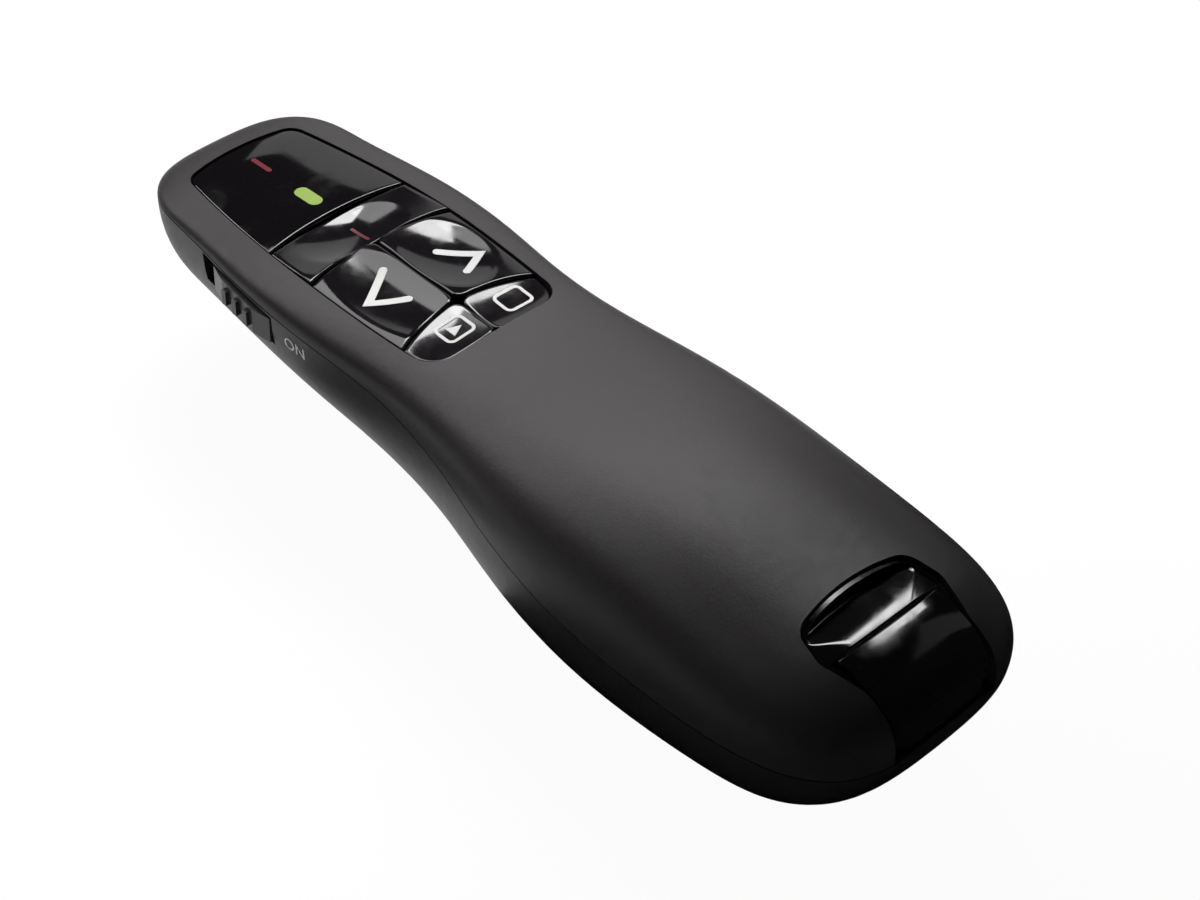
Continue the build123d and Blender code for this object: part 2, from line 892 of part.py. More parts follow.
with BuildPart() as laser_diode:
    add(rod(barrel_bore - laser_fit, barrel_rear, barrel_rear + diode_length))
    for angle in (-90, 30, 150):
        pin = Vector(diode_pin_circle, 0).rotate(Axis.Z, angle)
        pin_z = laser_axis_z + pin.Y
        add(rod(diode_pin_radius, barrel_rear - diode_pin_length, barrel_rear, pin.X, pin_z))
laser_diode.part.label = "laser_diode"
export_step(laser_diode.part, "parts/laser_diode.step")

with BuildPart() as aperture_window:
    add(rod(aperture_window_radius, window_face - aperture_window_thickness, window_face))
aperture_window.part.label = "aperture_window"
export_step(aperture_window.part, "parts/aperture_window.step")


# ======================================================================================
# Cells and contacts
# ======================================================================================
left_cell_front = left_cell_rear + cell_length
with BuildPart() as battery_left:
    nub_y = left_cell_front - cell_nub_length
    add(rod(cell_radius, left_cell_rear, nub_y, -cell_pitch / 2, cell_axis_z))
    add(rod(cell_nub_radius, nub_y, left_cell_front, -cell_pitch / 2, cell_axis_z))
battery_left.part.label = "battery_left"
export_step(battery_left.part, "parts/battery_left.step")

right_cell_front = right_cell_rear + cell_length
with BuildPart() as battery_right:
    nub_y = right_cell_rear + cell_nub_length
    add(rod(cell_nub_radius, right_cell_rear, nub_y, cell_pitch / 2, cell_axis_z))
    add(rod(cell_radius, nub_y, right_cell_front, cell_pitch / 2, cell_axis_z))
battery_right.part.label = "battery_right"
export_step(battery_right.part, "parts/battery_right.step")


def contact_spring(x, low_y):
    """Coil that presses a cell against the contact at its other end."""
    rise = spring_length - 2 * spring_wire
    with BuildPart() as coil:
        with BuildLine():
            path = Helix(
                pitch=rise / spring_turns,
                height=rise,
                radius=spring_radius,
                center=(x, low_y + spring_wire, cell_axis_z),
                direction=(0, 1, 0),
            )
        with BuildSketch(Plane(origin=path @ 0, z_dir=path % 0)):
            RegularPolygon(spring_wire, spring_sides)
        sweep()
    return coil.part


contact_spring_left = contact_spring(-cell_pitch / 2, bay_rear + contact_thickness)
contact_spring_left.label = "contact_spring_left"
export_step(contact_spring_left, "parts/contact_spring_left.step")

contact_spring_right = contact_spring(cell_pitch / 2, right_cell_front)
contact_spring_right.label = "contact_spring_right"
export_step(contact_spring_right, "parts/contact_spring_right.step")

with BuildPart() as rear_contact:
    half = (cell_pitch + contact_width) / 2
    high_z = contact_low + contact_height
    add(box_between((-half, bay_rear, contact_low), (half, bay_rear + contact_thickness, high_z)))
rear_contact.part.label = "rear_contact"
export_step(rear_contact.part, "parts/rear_contact.step")

with BuildPart() as front_contact:
    with BuildSketch(Plane.XZ.offset(contact_thickness - bay_front)):
        with Locations((0, contact_low + contact_height / 2)):
            with GridLocations(cell_pitch, 0, 2, 1):
                Rectangle(contact_width, contact_height)
    extrude(amount=-contact_thickness)
front_contact.part.label = "front_contact"
export_step(front_contact.part, "parts/front_contact.step")


# ======================================================================================
# Dock and receiver
# ======================================================================================
with BuildPart() as scoop_cup:
    with BuildSketch(Plane.XY.offset(slot_base)):
        add(scoop_outline(-receiver_gap))
    extrude(amount=belly_top)
    add(casing_body(scoop_drop), mode=Mode.INTERSECT)
with BuildPart() as scoop_hollow:
    with BuildSketch(Plane.XY.offset(scoop_floor)):
        add(scoop_outline(-receiver_gap - scoop_rim))
    extrude(amount=belly_top)
    fillet(scoop_hollow.faces().sort_by(Axis.Z)[0].edges(), scoop_fillet)

with BuildPart() as receiver_dock:
    tray_half = rail_x + rail_thickness / 2
    channel_half = slot_half + dock_wall
    add(box_between((-tray_half, tail_end, dock_base), (tray_half, bulkhead_front, slot_base)))
    add(
        box_between(
            (-channel_half, tail_end, slot_base),
            (channel_half, slot_front + dock_wall, scoop_floor),
        )
    )
    add(lining, mode=Mode.INTERSECT)
    add(scoop_cup.part)
    add(scoop_hollow.part, mode=Mode.SUBTRACT)
    add(
        box_between((-slot_half, tail_end - wall, slot_base), (slot_half, slot_front, slot_top)),
        mode=Mode.SUBTRACT,
    )
    add(
        box_between(
            (-scoop_neck_half, tail_end - wall, slot_base),
            (scoop_neck_half, head_front + head_gap, belly_top),
        ),
        mode=Mode.SUBTRACT,
    )
    roof_end = scoop_front + dock_wall
    add(
        box_between((-slot_half, roof_end, slot_top), (slot_half, slot_front, belly_top)),
        mode=Mode.SUBTRACT,
    )
receiver_dock.part.label = "receiver_dock"
export_step(receiver_dock.part, "parts/receiver_dock.step")

def receiver_plan(low_z):
    """Plan of the receiver's plastic body, rounded at the end that the fingers hold."""
    rear = tail_end + key_drop
    with BuildSketch(Plane.XY.offset(low_z)) as plan:
        with Locations((0, (rear + receiver_front) / 2)):
            Rectangle(2 * receiver_half, receiver_front - rear)
        fillet(plan.vertices().group_by(Axis.Y)[0], receiver_round)
    return plan.sketch


with BuildPart() as receiver_form:
    with BuildSketch(Plane.XY.offset(receiver_base)):
        add(receiver_plan(0))
    extrude(amount=belly_top)
    add(
        box_between((-slot_half, head_front, receiver_top), (slot_half, nose_end, far)),
        mode=Mode.SUBTRACT,
    )
    add(panel_skin, mode=Mode.INTERSECT)
    # chamfer along the front of the head, where a fingertip catches it
    head_top = casing_at(head_front, key_drop)[1]
    with BuildSketch(Plane.YZ):
        Polygon(
            (head_front + receiver_edge, head_top - 2 * receiver_edge),
            (head_front + receiver_edge, head_top + receiver_edge),
            (head_front - 2 * receiver_edge, head_top + receiver_edge),
            align=None,
        )
    extrude(amount=far, both=True, mode=Mode.SUBTRACT)
    # room for the board, and the socket that grips the plug's root
    add(
        box_between(
            (
                receiver_wall - receiver_half,
                head_front - receiver_head / 2,
                receiver_base + receiver_wall,
            ),
            (
                receiver_half - receiver_wall,
                receiver_front - plug_root,
                receiver_top - receiver_wall,
            ),
        ),
        mode=Mode.SUBTRACT,
    )
    add(
        box_between(
            (-plug_width / 2, receiver_front - plug_root, receiver_mid - plug_height / 2),
            (plug_width / 2, receiver_front, receiver_mid + plug_height / 2),
        ),
        mode=Mode.SUBTRACT,
    )

with BuildPart() as receiver_lower_shell:
    add(receiver_form.part)
    add(slab(-far, receiver_mid), mode=Mode.INTERSECT)
receiver_lower_shell.part.label = "receiver_lower_shell"
export_step(receiver_lower_shell.part, "parts/receiver_lower_shell.step")

with BuildPart() as receiver_upper_shell:
    add(receiver_form.part)
    add(slab(receiver_mid, far), mode=Mode.INTERSECT)
receiver_upper_shell.part.label = "receiver_upper_shell"
export_step(receiver_upper_shell.part, "parts/receiver_upper_shell.step")

plug_rear = receiver_front - plug_root
plug_low = receiver_mid - plug_height / 2
with BuildPart() as usb_plug_shell:
    with BuildSketch(Plane.XZ.offset(-plug_rear)):
        with Locations((0, receiver_mid)):
            Rectangle(plug_width, plug_height)
            Rectangle(
                plug_width - 2 * plug_skin, plug_height - 2 * plug_skin, mode=Mode.SUBTRACT
            )
    extrude(amount=plug_rear - plug_tip)
    with BuildSketch(Plane.XY.offset(receiver_mid)):
        with Locations((0, plug_tip - plug_reach / 2)):
            with GridLocations(2 * plug_window, 0, 2, 1):
                Rectangle(plug_window, plug_window)
    extrude(amount=plug_height, both=True, mode=Mode.SUBTRACT)
usb_plug_shell.part.label = "usb_plug_shell"
export_step(usb_plug_shell.part, "parts/usb_plug_shell.step")

tongue_top = plug_low + plug_skin + tongue_height
tongue_front = plug_tip - plug_skin
with BuildPart() as usb_tongue:
    add(
        box_between(
            (plug_skin - plug_width / 2, plug_rear, plug_low + plug_skin),
            (plug_width / 2 - plug_skin, tongue_front, tongue_top),
        )
    )
usb_tongue.part.label = "usb_tongue"
export_step(usb_tongue.part, "parts/usb_tongue.step")

with BuildPart() as usb_contacts:
    with BuildSketch(Plane.XY.offset(tongue_top)):
        with Locations((0, tongue_front - plug_skin - usb_contact_length / 2)):
            with GridLocations(usb_contact_pitch, 0, 4, 1):
                Rectangle(usb_contact_width, usb_contact_length)
    extrude(amount=usb_contact_thickness)
usb_contacts.part.label = "usb_contacts"
export_step(usb_contacts.part, "parts/usb_contacts.step")

with BuildPart() as receiver_board:
    board_half = receiver_half - receiver_wall - receiver_gap
    add(
        box_between(
            (-board_half, head_front, receiver_base + receiver_wall),
            (
                board_half,
                plug_rear - receiver_gap,
                receiver_base + receiver_wall + receiver_board_thickness,
            ),
        )
    )
receiver_board.part.label = "receiver_board"
export_step(receiver_board.part, "parts/receiver_board.step")


# ======================================================================================
# Screws
# ======================================================================================
def screw(spots, seat_z, shank, head, head_height, length):
    """Pan screws driven upwards: the head under its seat, the shank above it."""
    with BuildPart() as screws:
        with BuildSketch(Plane.XY.offset(seat_z - head_height)):
            with Locations(*spots):
                Circle(head)
        extrude(amount=head_height)
        with BuildSketch(Plane.XY.offset(seat_z)):
            with Locations(*spots):
                Circle(shank)
        extrude(amount=length)
    return screws.part


front_seat = front_boss_top - seat_thickness
rear_boss_top = dock_base
rear_seat = rear_boss_top - seat_thickness
with BuildPart() as housing_screws:
    for spots, seat_z in ((front_screws, front_seat), (rear_screws, rear_seat)):
        add(screw(spots, seat_z, screw_radius, screw_head_radius, screw_head_height, screw_length))
housing_screws.part.label = "housing_screws"
export_step(housing_screws.part, "parts/housing_screws.step")

with BuildPart() as board_screws:
    with BuildSketch(Plane.XY.offset(board_top)):
        with Locations((0, board_screw_y)):
            with GridLocations(2 * board_screw_x, board_screw_spacing, 2, 2):
                Circle(board_screw_head_radius)
    extrude(amount=board_screw_head_height)
    with BuildSketch(Plane.XY.offset(board_top - board_screw_length)):
        with Locations((0, board_screw_y)):
            with GridLocations(2 * board_screw_x, board_screw_spacing, 2, 2):
                Circle(board_screw_radius)
    extrude(amount=board_screw_length)
board_screws.part.label = "board_screws"
export_step(board_screws.part, "parts/board_screws.step")


# ======================================================================================
# Top shell
# ======================================================================================
with BuildPart() as screw_posts:
    for spots, low_z in ((front_screws, front_boss_top), (rear_screws, rear_boss_top)):
        with BuildSketch(Plane.XY.offset(low_z)):
            with Locations(*spots):
                Circle(post_radius)
        extrude(amount=belly_top)
    add(mid_wall, mode=Mode.INTERSECT)

with BuildPart() as top_shell:
    add(outer)
    add(inner, mode=Mode.SUBTRACT)
    add(under_seam(seam_gap / 2), mode=Mode.SUBTRACT)
    with BuildSketch():
        add(panel_outline(0))
    extrude(amount=far, mode=Mode.SUBTRACT)
    with BuildSketch():
        add(scoop_outline(0))
    extrude(amount=far, mode=Mode.SUBTRACT)
    add(screw_posts.part)
    pilot_length = screw_length - seat_thickness + pilot_gap
    for spots, low_z in ((front_screws, front_boss_top), (rear_screws, rear_boss_top)):
        with BuildSketch(Plane.XY.offset(low_z)):
            with Locations(*spots):
                Circle(screw_radius + screw_fit)
        extrude(amount=pilot_length, mode=Mode.SUBTRACT)
top_shell.part.label = "top_shell"
export_step(top_shell.part, "parts/top_shell.step")


# ======================================================================================
# Bottom shell
# ======================================================================================
with BuildPart() as cell_walls:
    # bulkheads and rails round the cells, standing above the door
    add(box_between((-far, bay_front, door_split_z), (far, bulkhead_front, dock_base)))
    add(box_between((-far, bay_rear - bulkhead, door_split_z), (far, bay_rear, dock_base)))
    for side in (-1, 1):
        inside = side * rail_x
        outside = side * (rail_x + rail_thickness)
        add(
            box_between(
                (min(inside, outside), bay_rear - bulkhead / 2, door_split_z),
                (max(inside, outside), bulkhead_front - bulkhead / 2, dock_base),
            )
        )
    add(mid_wall, mode=Mode.INTERSECT)

with BuildPart() as bosses:
    with BuildSketch():
        with Locations(*front_screws):
            Circle(boss_radius)
    extrude(amount=front_boss_top)
    with BuildSketch(Plane.XY.offset(door_split_z)):
        with Locations(*rear_screws):
            Circle(boss_radius)
    extrude(amount=rear_boss_top - door_split_z)
    add(mid_wall, mode=Mode.INTERSECT)

with BuildPart() as standoffs:
    with BuildSketch():
        with Locations((0, board_screw_y)):
            with GridLocations(2 * board_screw_x, board_screw_spacing, 2, 2):
                Circle(standoff_radius)
    extrude(amount=board_base)
    add(mid_wall, mode=Mode.INTERSECT)

with BuildPart() as laser_seat:
    # saddles under the laser barrel, and the ring round its window
    for y in (barrel_rear + saddle_inset, barrel_front - saddle_inset):
        add(
            box_between(
                (-saddle_half, y - saddle_thickness / 2, 0),
                (saddle_half, y + saddle_thickness / 2, laser_axis_z),
            )
        )
    add(rod(barrel_radius + laser_fit, barrel_rear, barrel_front), mode=Mode.SUBTRACT)
    ring_front = window_face + aperture_ring_length
    add(rod(aperture_window_radius + aperture_ring, window_face - aperture_ring_length, ring_front))
    add(mid_wall, mode=Mode.INTERSECT)

with BuildPart() as slider_recess:
    recess_rear = slider_rear_y - slider_gap
    recess_front = slider_front_y + slider_travel + slider_gap
    recess_low = slider_low - slider_gap
    recess_high = slider_low + slider_height + slider_gap
    add(box_between((-far, recess_rear, recess_low), (0, recess_front, recess_high)))
    add(casing_body(slider_recess_depth), mode=Mode.SUBTRACT)

with BuildPart() as bottom_shell:
    # the roof dips under the seam line near the nose, where it belongs to the top shell,
    # so the hollow is cut with its crown raised
    add(outer)
    add(under_seam(-seam_gap / 2), mode=Mode.INTERSECT)
    add(casing_body(wall, 2 * wall), mode=Mode.SUBTRACT)
    for support in (cell_walls, bosses, standoffs, laser_seat):
        add(support.part)
    add(box_between((-far, -far, -far), (far, door_front, door_split_z)), mode=Mode.SUBTRACT)
    # counterbores and holes for the screws
    for spots, seat_z, top_z in (
        (front_screws, front_seat, front_boss_top),
        (rear_screws, rear_seat, rear_boss_top),
    ):
        with BuildSketch():
            with Locations(*spots):
                Circle(screw_head_radius + counterbore_gap)
        extrude(amount=seat_z, mode=Mode.SUBTRACT)
        with BuildSketch(Plane.XY.offset(seat_z)):
            with Locations(*spots):
                Circle(screw_radius + counterbore_gap)
        extrude(amount=top_z - seat_z, mode=Mode.SUBTRACT)
    with BuildSketch(Plane.XY.offset(board_top - board_screw_length - screw_fit)):
        with Locations((0, board_screw_y)):
            with GridLocations(2 * board_screw_x, board_screw_spacing, 2, 2):
                Circle(board_screw_radius + screw_fit)
    extrude(amount=board_screw_length, mode=Mode.SUBTRACT)
    # slider recess and the slot for its stem
    add(slider_recess.part, mode=Mode.SUBTRACT)
    stem_half = slider_stem_length / 2 + slot_gap
    stem_z_half = slider_stem_height / 2 + slot_gap
    add(
        box_between(
            (-far, slider_y - stem_half, slider_z - stem_z_half),
            (0, slider_y + stem_half + slider_travel, slider_z + stem_z_half),
        ),
        mode=Mode.SUBTRACT,
    )
    # seat and bore of the laser window
    window_fit = aperture_window_radius + laser_fit
    add(rod(window_fit, barrel_front - saddle_inset, window_face), mode=Mode.SUBTRACT)
    add(rod(aperture_radius, window_face, nose_end + wall), mode=Mode.SUBTRACT)
bottom_shell.part.label = "bottom_shell"
export_step(bottom_shell.part, "parts/bottom_shell.step")


# ======================================================================================
# Battery door
# ======================================================================================
with BuildPart() as battery_door:
    add(outer)
    add(inner, mode=Mode.SUBTRACT)
    add(
        box_between((-far, -far, -far), (far, door_front - door_gap, door_split_z - door_gap)),
        mode=Mode.INTERSECT,
    )
    sill_z = casing_at(door_front, 0)[2]
    tongue_low = casing_at(door_front + tongue_length, 0)[2] + wall + tongue_gap
    add(
        box_between(
            (-tongue_width / 2, door_front - tongue_root, sill_z + wall / 2),
            (tongue_width / 2, door_front - door_gap, tongue_low + tongue_thickness),
        )
    )
    add(
        box_between(
            (-tongue_width / 2, door_front - door_gap, tongue_low),
            (tongue_width / 2, door_front + tongue_length, tongue_low + tongue_thickness),
        )
    )
    # the cells clear the narrower front of the door as it slides back
    for x in (-cell_pitch / 2, cell_pitch / 2):
        add(rod(cell_radius + cell_relief, bay_rear, door_front, x, cell_axis_z), mode=Mode.SUBTRACT)
    with BuildSketch():
        with Locations((0, tail_end + bay_back)):
            with GridLocations(0, grip_groove_pitch, 1, 3):
                SlotOverall(grip_groove_length, grip_groove_width)
    extrude(amount=grip_groove_depth, mode=Mode.SUBTRACT)
battery_door.part.label = "battery_door"
export_step(battery_door.part, "parts/battery_door.step")
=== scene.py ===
import json
import math

import bmesh
import bpy
from mathutils import Matrix, Vector


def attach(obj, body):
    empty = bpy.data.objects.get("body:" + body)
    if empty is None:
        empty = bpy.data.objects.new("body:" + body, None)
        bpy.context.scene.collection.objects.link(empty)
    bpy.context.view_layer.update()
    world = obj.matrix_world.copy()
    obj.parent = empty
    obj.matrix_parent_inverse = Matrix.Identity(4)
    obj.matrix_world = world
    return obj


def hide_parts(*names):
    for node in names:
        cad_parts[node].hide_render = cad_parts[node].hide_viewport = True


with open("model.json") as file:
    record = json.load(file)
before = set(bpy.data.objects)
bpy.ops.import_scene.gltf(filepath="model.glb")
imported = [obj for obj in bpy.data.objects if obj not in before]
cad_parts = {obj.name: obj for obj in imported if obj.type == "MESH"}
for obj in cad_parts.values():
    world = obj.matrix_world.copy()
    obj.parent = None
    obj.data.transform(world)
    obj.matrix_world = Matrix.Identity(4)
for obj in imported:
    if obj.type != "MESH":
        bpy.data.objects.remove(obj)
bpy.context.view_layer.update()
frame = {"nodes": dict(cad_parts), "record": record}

# A hand-held presenter. Lengths below are millimetres unless a line says otherwise,
# and mm() turns them into the metres that the frame uses.
mmScale = 0.001


def mm(x, y, z):
    return Vector((x, y, z)) * mmScale


scene = bpy.context.scene
scene.view_settings.view_transform = "Standard"
print("stage: frame loaded,", len(frame["nodes"]), "nodes")

# ---- camera ----
cameraSetup = {
    "place": (-142.294, -147.560, 207.922),
    "right": (0.72365, -0.68905, 0.03916),
    "up": (0.45711, 0.52104, 0.72081),
    "back": (-0.51708, -0.50372, 0.69202),
    "lens": 77.83,
    "sensor": 36.0,
    "clip": (0.01, 20.0),  # metres
}


def makeCamera(setup):
    data = bpy.data.cameras.new("camera")
    data.lens = setup["lens"]
    data.sensor_width = setup["sensor"]
    data.sensor_fit = "HORIZONTAL"
    data.clip_start, data.clip_end = setup["clip"]
    cam = bpy.data.objects.new("camera", data)
    turn = Matrix((setup["right"], setup["up"], setup["back"])).transposed()
    cam.matrix_world = Matrix.Translation(mm(*setup["place"])) @ turn.to_4x4()
    scene.collection.objects.link(cam)
    scene.camera = cam


makeCamera(cameraSetup)
print("stage: camera")


# ---- node helpers ----
def addNode(tree, kind, **settings):
    node = tree.nodes.new(kind)
    for key, value in settings.items():
        setattr(node, key, value)
    return node


def setInputs(node, values):
    for key, value in values.items():
        node.inputs[key].default_value = value


def ramp(tree, source, stops):
    node = tree.nodes.new("ShaderNodeValToRGB")
    band = node.color_ramp
    while len(band.elements) < len(stops):
        band.elements.new(0.5)
    for element, (at, level) in zip(band.elements, stops):
        element.position = at
        element.color = (level, level, level, 1)
    tree.links.new(source, node.inputs["Fac"])
    return node.outputs["Color"]


def newGroup(name, inputs, outputs):
    group = bpy.data.node_groups.new(name, "ShaderNodeTree")
    for label, kind, value in inputs:
        socket = group.interface.new_socket(label, in_out="INPUT", socket_type=kind)
        socket.default_value = value
    for label, kind in outputs:
        group.interface.new_socket(label, in_out="OUTPUT", socket_type=kind)
    return group, group.nodes.new("NodeGroupInput"), group.nodes.new("NodeGroupOutput")


floatKind = "NodeSocketFloat"
colourKind = "NodeSocketColor"

# ---- shared effects ----
def makeMouldedSkin():
    # fine spark texture, slow mottling of the colour and uneven roughness
    group, source, sink = newGroup(
        "mouldedSkin",
        [("Base", colourKind, (0.05, 0.05, 0.05, 1)), ("Shade", colourKind, (0.03, 0.03, 0.03, 1)),
         ("Grain Scale", floatKind, 3200), ("Rough", floatKind, 0.5), ("Rough Spread", floatKind, 0.1)],
        [("Color", colourKind), ("Roughness", floatKind), ("Height", floatKind)],
    )
    place = addNode(group, "ShaderNodeTexCoord").outputs["Object"]
    slow = addNode(group, "ShaderNodeTexNoise")
    setInputs(slow, {"Scale": 45, "Detail": 4, "Roughness": 0.6})
    grain = addNode(group, "ShaderNodeTexVoronoi", feature="SMOOTH_F1")
    setInputs(grain, {"Smoothness": 0.6})
    dust = addNode(group, "ShaderNodeTexNoise")
    setInputs(dust, {"Scale": 900, "Detail": 3})
    for texture in (slow, grain, dust):
        group.links.new(place, texture.inputs["Vector"])
    group.links.new(source.outputs["Grain Scale"], grain.inputs["Scale"])
    blend = addNode(group, "ShaderNodeMix", data_type="RGBA")
    group.links.new(slow.outputs["Fac"], blend.inputs["Factor"])
    group.links.new(source.outputs["Base"], blend.inputs[6])
    group.links.new(source.outputs["Shade"], blend.inputs[7])
    group.links.new(blend.outputs[2], sink.inputs["Color"])
    spread = addNode(group, "ShaderNodeMath", operation="MULTIPLY_ADD")
    group.links.new(dust.outputs["Fac"], spread.inputs[0])
    group.links.new(source.outputs["Rough Spread"], spread.inputs[1])
    group.links.new(source.outputs["Rough"], spread.inputs[2])
    group.links.new(spread.outputs[0], sink.inputs["Roughness"])
    group.links.new(grain.outputs["Distance"], sink.inputs["Height"])
    return group


def makeHandledGloss():
    # finger smears, a few specks of dust and a faint waviness on polished plastic
    group, source, sink = newGroup(
        "handledGloss",
        [("Base", colourKind, (0.01, 0.01, 0.01, 1)), ("Dust", colourKind, (0.03, 0.03, 0.03, 1)),
         ("Smear Scale", floatKind, 160), ("Rough", floatKind, 0.06), ("Smear", floatKind, 0.12)],
        [("Color", colourKind), ("Roughness", floatKind), ("Height", floatKind)],
    )
    place = addNode(group, "ShaderNodeTexCoord").outputs["Object"]
    smear = addNode(group, "ShaderNodeTexNoise")
    setInputs(smear, {"Detail": 5, "Roughness": 0.65, "Distortion": 0.8})
    speck = addNode(group, "ShaderNodeTexNoise")
    setInputs(speck, {"Scale": 2600, "Detail": 1})
    wave = addNode(group, "ShaderNodeTexNoise")
    setInputs(wave, {"Scale": 120, "Detail": 1})
    for texture in (smear, speck, wave):
        group.links.new(place, texture.inputs["Vector"])
    group.links.new(source.outputs["Smear Scale"], smear.inputs["Scale"])
    smearMask = ramp(group, smear.outputs["Fac"], [(0.45, 0), (0.75, 1)])
    speckMask = ramp(group, speck.outputs["Fac"], [(0.72, 0), (0.8, 1)])
    blend = addNode(group, "ShaderNodeMix", data_type="RGBA")
    group.links.new(speckMask, blend.inputs["Factor"])
    group.links.new(source.outputs["Base"], blend.inputs[6])
    group.links.new(source.outputs["Dust"], blend.inputs[7])
    group.links.new(blend.outputs[2], sink.inputs["Color"])
    rough = addNode(group, "ShaderNodeMath", operation="MULTIPLY_ADD")
    group.links.new(smearMask, rough.inputs[0])
    group.links.new(source.outputs["Smear"], rough.inputs[1])
    group.links.new(source.outputs["Rough"], rough.inputs[2])
    group.links.new(rough.outputs[0], sink.inputs["Roughness"])
    group.links.new(wave.outputs["Fac"], sink.inputs["Height"])
    return group


def makeDrawnMetal():
    # streaks left by drawing or rolling, running along Y, with a little tarnish
    group, source, sink = newGroup(
        "drawnMetal",
        [("Base", colourKind, (0.7, 0.7, 0.7, 1)), ("Tarnish", colourKind, (0.5, 0.5, 0.5, 1)),
         ("Rough", floatKind, 0.25), ("Rough Spread", floatKind, 0.15)],
        [("Color", colourKind), ("Roughness", floatKind), ("Height", floatKind)],
    )
    place = addNode(group, "ShaderNodeTexCoord").outputs["Object"]
    stretch = addNode(group, "ShaderNodeMapping")
    setInputs(stretch, {"Scale": (1, 0.05, 1)})
    group.links.new(place, stretch.inputs["Vector"])
    streak = addNode(group, "ShaderNodeTexNoise")
    setInputs(streak, {"Scale": 6000, "Detail": 3})
    group.links.new(stretch.outputs["Vector"], streak.inputs["Vector"])
    stain = addNode(group, "ShaderNodeTexNoise")
    setInputs(stain, {"Scale": 260, "Detail": 5})
    group.links.new(place, stain.inputs["Vector"])
    blend = addNode(group, "ShaderNodeMix", data_type="RGBA")
    group.links.new(ramp(group, stain.outputs["Fac"], [(0.4, 0), (0.7, 1)]), blend.inputs["Factor"])
    group.links.new(source.outputs["Base"], blend.inputs[6])
    group.links.new(source.outputs["Tarnish"], blend.inputs[7])
    group.links.new(blend.outputs[2], sink.inputs["Color"])
    rough = addNode(group, "ShaderNodeMath", operation="MULTIPLY_ADD")
    group.links.new(streak.outputs["Fac"], rough.inputs[0])
    group.links.new(source.outputs["Rough Spread"], rough.inputs[1])
    group.links.new(source.outputs["Rough"], rough.inputs[2])
    group.links.new(rough.outputs[0], sink.inputs["Roughness"])
    group.links.new(streak.outputs["Fac"], sink.inputs["Height"])
    return group


mouldedSkin = makeMouldedSkin()
handledGloss = makeHandledGloss()
drawnMetal = makeDrawnMetal()


def finishWith(name, group, groupValues, shaderValues, bump):
    # one material: the shared effect drives colour, roughness and a bump (strength, millimetres)
    material = bpy.data.materials.new(name)
    material.use_nodes = True
    tree = material.node_tree
    shader = tree.nodes["Principled BSDF"]
    setInputs(shader, shaderValues)
    effect = addNode(tree, "ShaderNodeGroup", node_tree=group)
    for key, value in groupValues.items():
        effect.inputs[key].default_value = (*value, 1) if isinstance(value, tuple) else value
    tree.links.new(effect.outputs["Color"], shader.inputs["Base Color"])
    tree.links.new(effect.outputs["Roughness"], shader.inputs["Roughness"])
    raised = addNode(tree, "ShaderNodeBump")
    setInputs(raised, {"Strength": bump[0], "Distance": bump[1] * mmScale})
    tree.links.new(effect.outputs["Height"], raised.inputs["Height"])
    tree.links.new(raised.outputs["Normal"], shader.inputs["Normal"])
    return material


# ---- finishes, one per material slot of the record ----
softValues = {"Grain Scale": 3600, "Rough": 0.40, "Rough Spread": 0.12}
plasticFinishes = {
    "soft_casing": dict(softValues, Base=(0.027, 0.023, 0.025), Shade=(0.022, 0.019, 0.021)),
    # the lower shell takes the casing's own skin in a darker colour, painted shade for its
    # downward-facing side
    "soft_casing_lower": dict(softValues, Base=(0.021, 0.018, 0.020), Shade=(0.017, 0.015, 0.016)),
    "slider_plastic": {"Base": (0.042, 0.038, 0.040), "Shade": (0.034, 0.031, 0.032), "Rough": 0.3},
    "inner_plastic": {"Base": (0.030, 0.030, 0.030), "Shade": (0.022, 0.022, 0.022), "Rough": 0.5},
    "plunger_plastic": {"Base": (0.78, 0.77, 0.73), "Shade": (0.70, 0.69, 0.64), "Rough": 0.4},
    "chip": {"Base": (0.022, 0.022, 0.024), "Shade": (0.030, 0.030, 0.032), "Rough": 0.5},
}
glossFinishes = {
    "smoked_window": {"Base": (0.004, 0.0035, 0.004), "Dust": (0.012, 0.011, 0.012), "Rough": 0.04},
    "gloss_key": {"Base": (0.006, 0.005, 0.006), "Dust": (0.016, 0.015, 0.016), "Rough": 0.07},
    "gloss_dock": {"Base": (0.007, 0.006, 0.007), "Dust": (0.016, 0.015, 0.016), "Rough": 0.10},
    "receiver_plastic": {"Base": (0.008, 0.007, 0.008), "Dust": (0.018, 0.016, 0.017), "Rough": 0.08},
}
metalFinishes = {
    "switch_metal": {"Base": (0.62, 0.62, 0.60), "Tarnish": (0.5, 0.49, 0.46), "Rough": 0.3},
    "can_metal": {"Base": (0.72, 0.72, 0.70), "Tarnish": (0.6, 0.6, 0.57), "Rough": 0.22},
    "brass": {"Base": (0.72, 0.53, 0.24), "Tarnish": (0.55, 0.38, 0.17), "Rough": 0.25},
    "contact_metal": {"Base": (0.78, 0.78, 0.76), "Tarnish": (0.66, 0.65, 0.62), "Rough": 0.14},
    "plug_metal": {"Base": (0.74, 0.74, 0.73), "Tarnish": (0.64, 0.63, 0.61), "Rough": 0.2},
    "gold": {"Base": (0.86, 0.66, 0.28), "Tarnish": (0.74, 0.54, 0.22), "Rough": 0.16},
    "screw_metal": {"Base": (0.10, 0.10, 0.11), "Tarnish": (0.16, 0.15, 0.14), "Rough": 0.3},
}
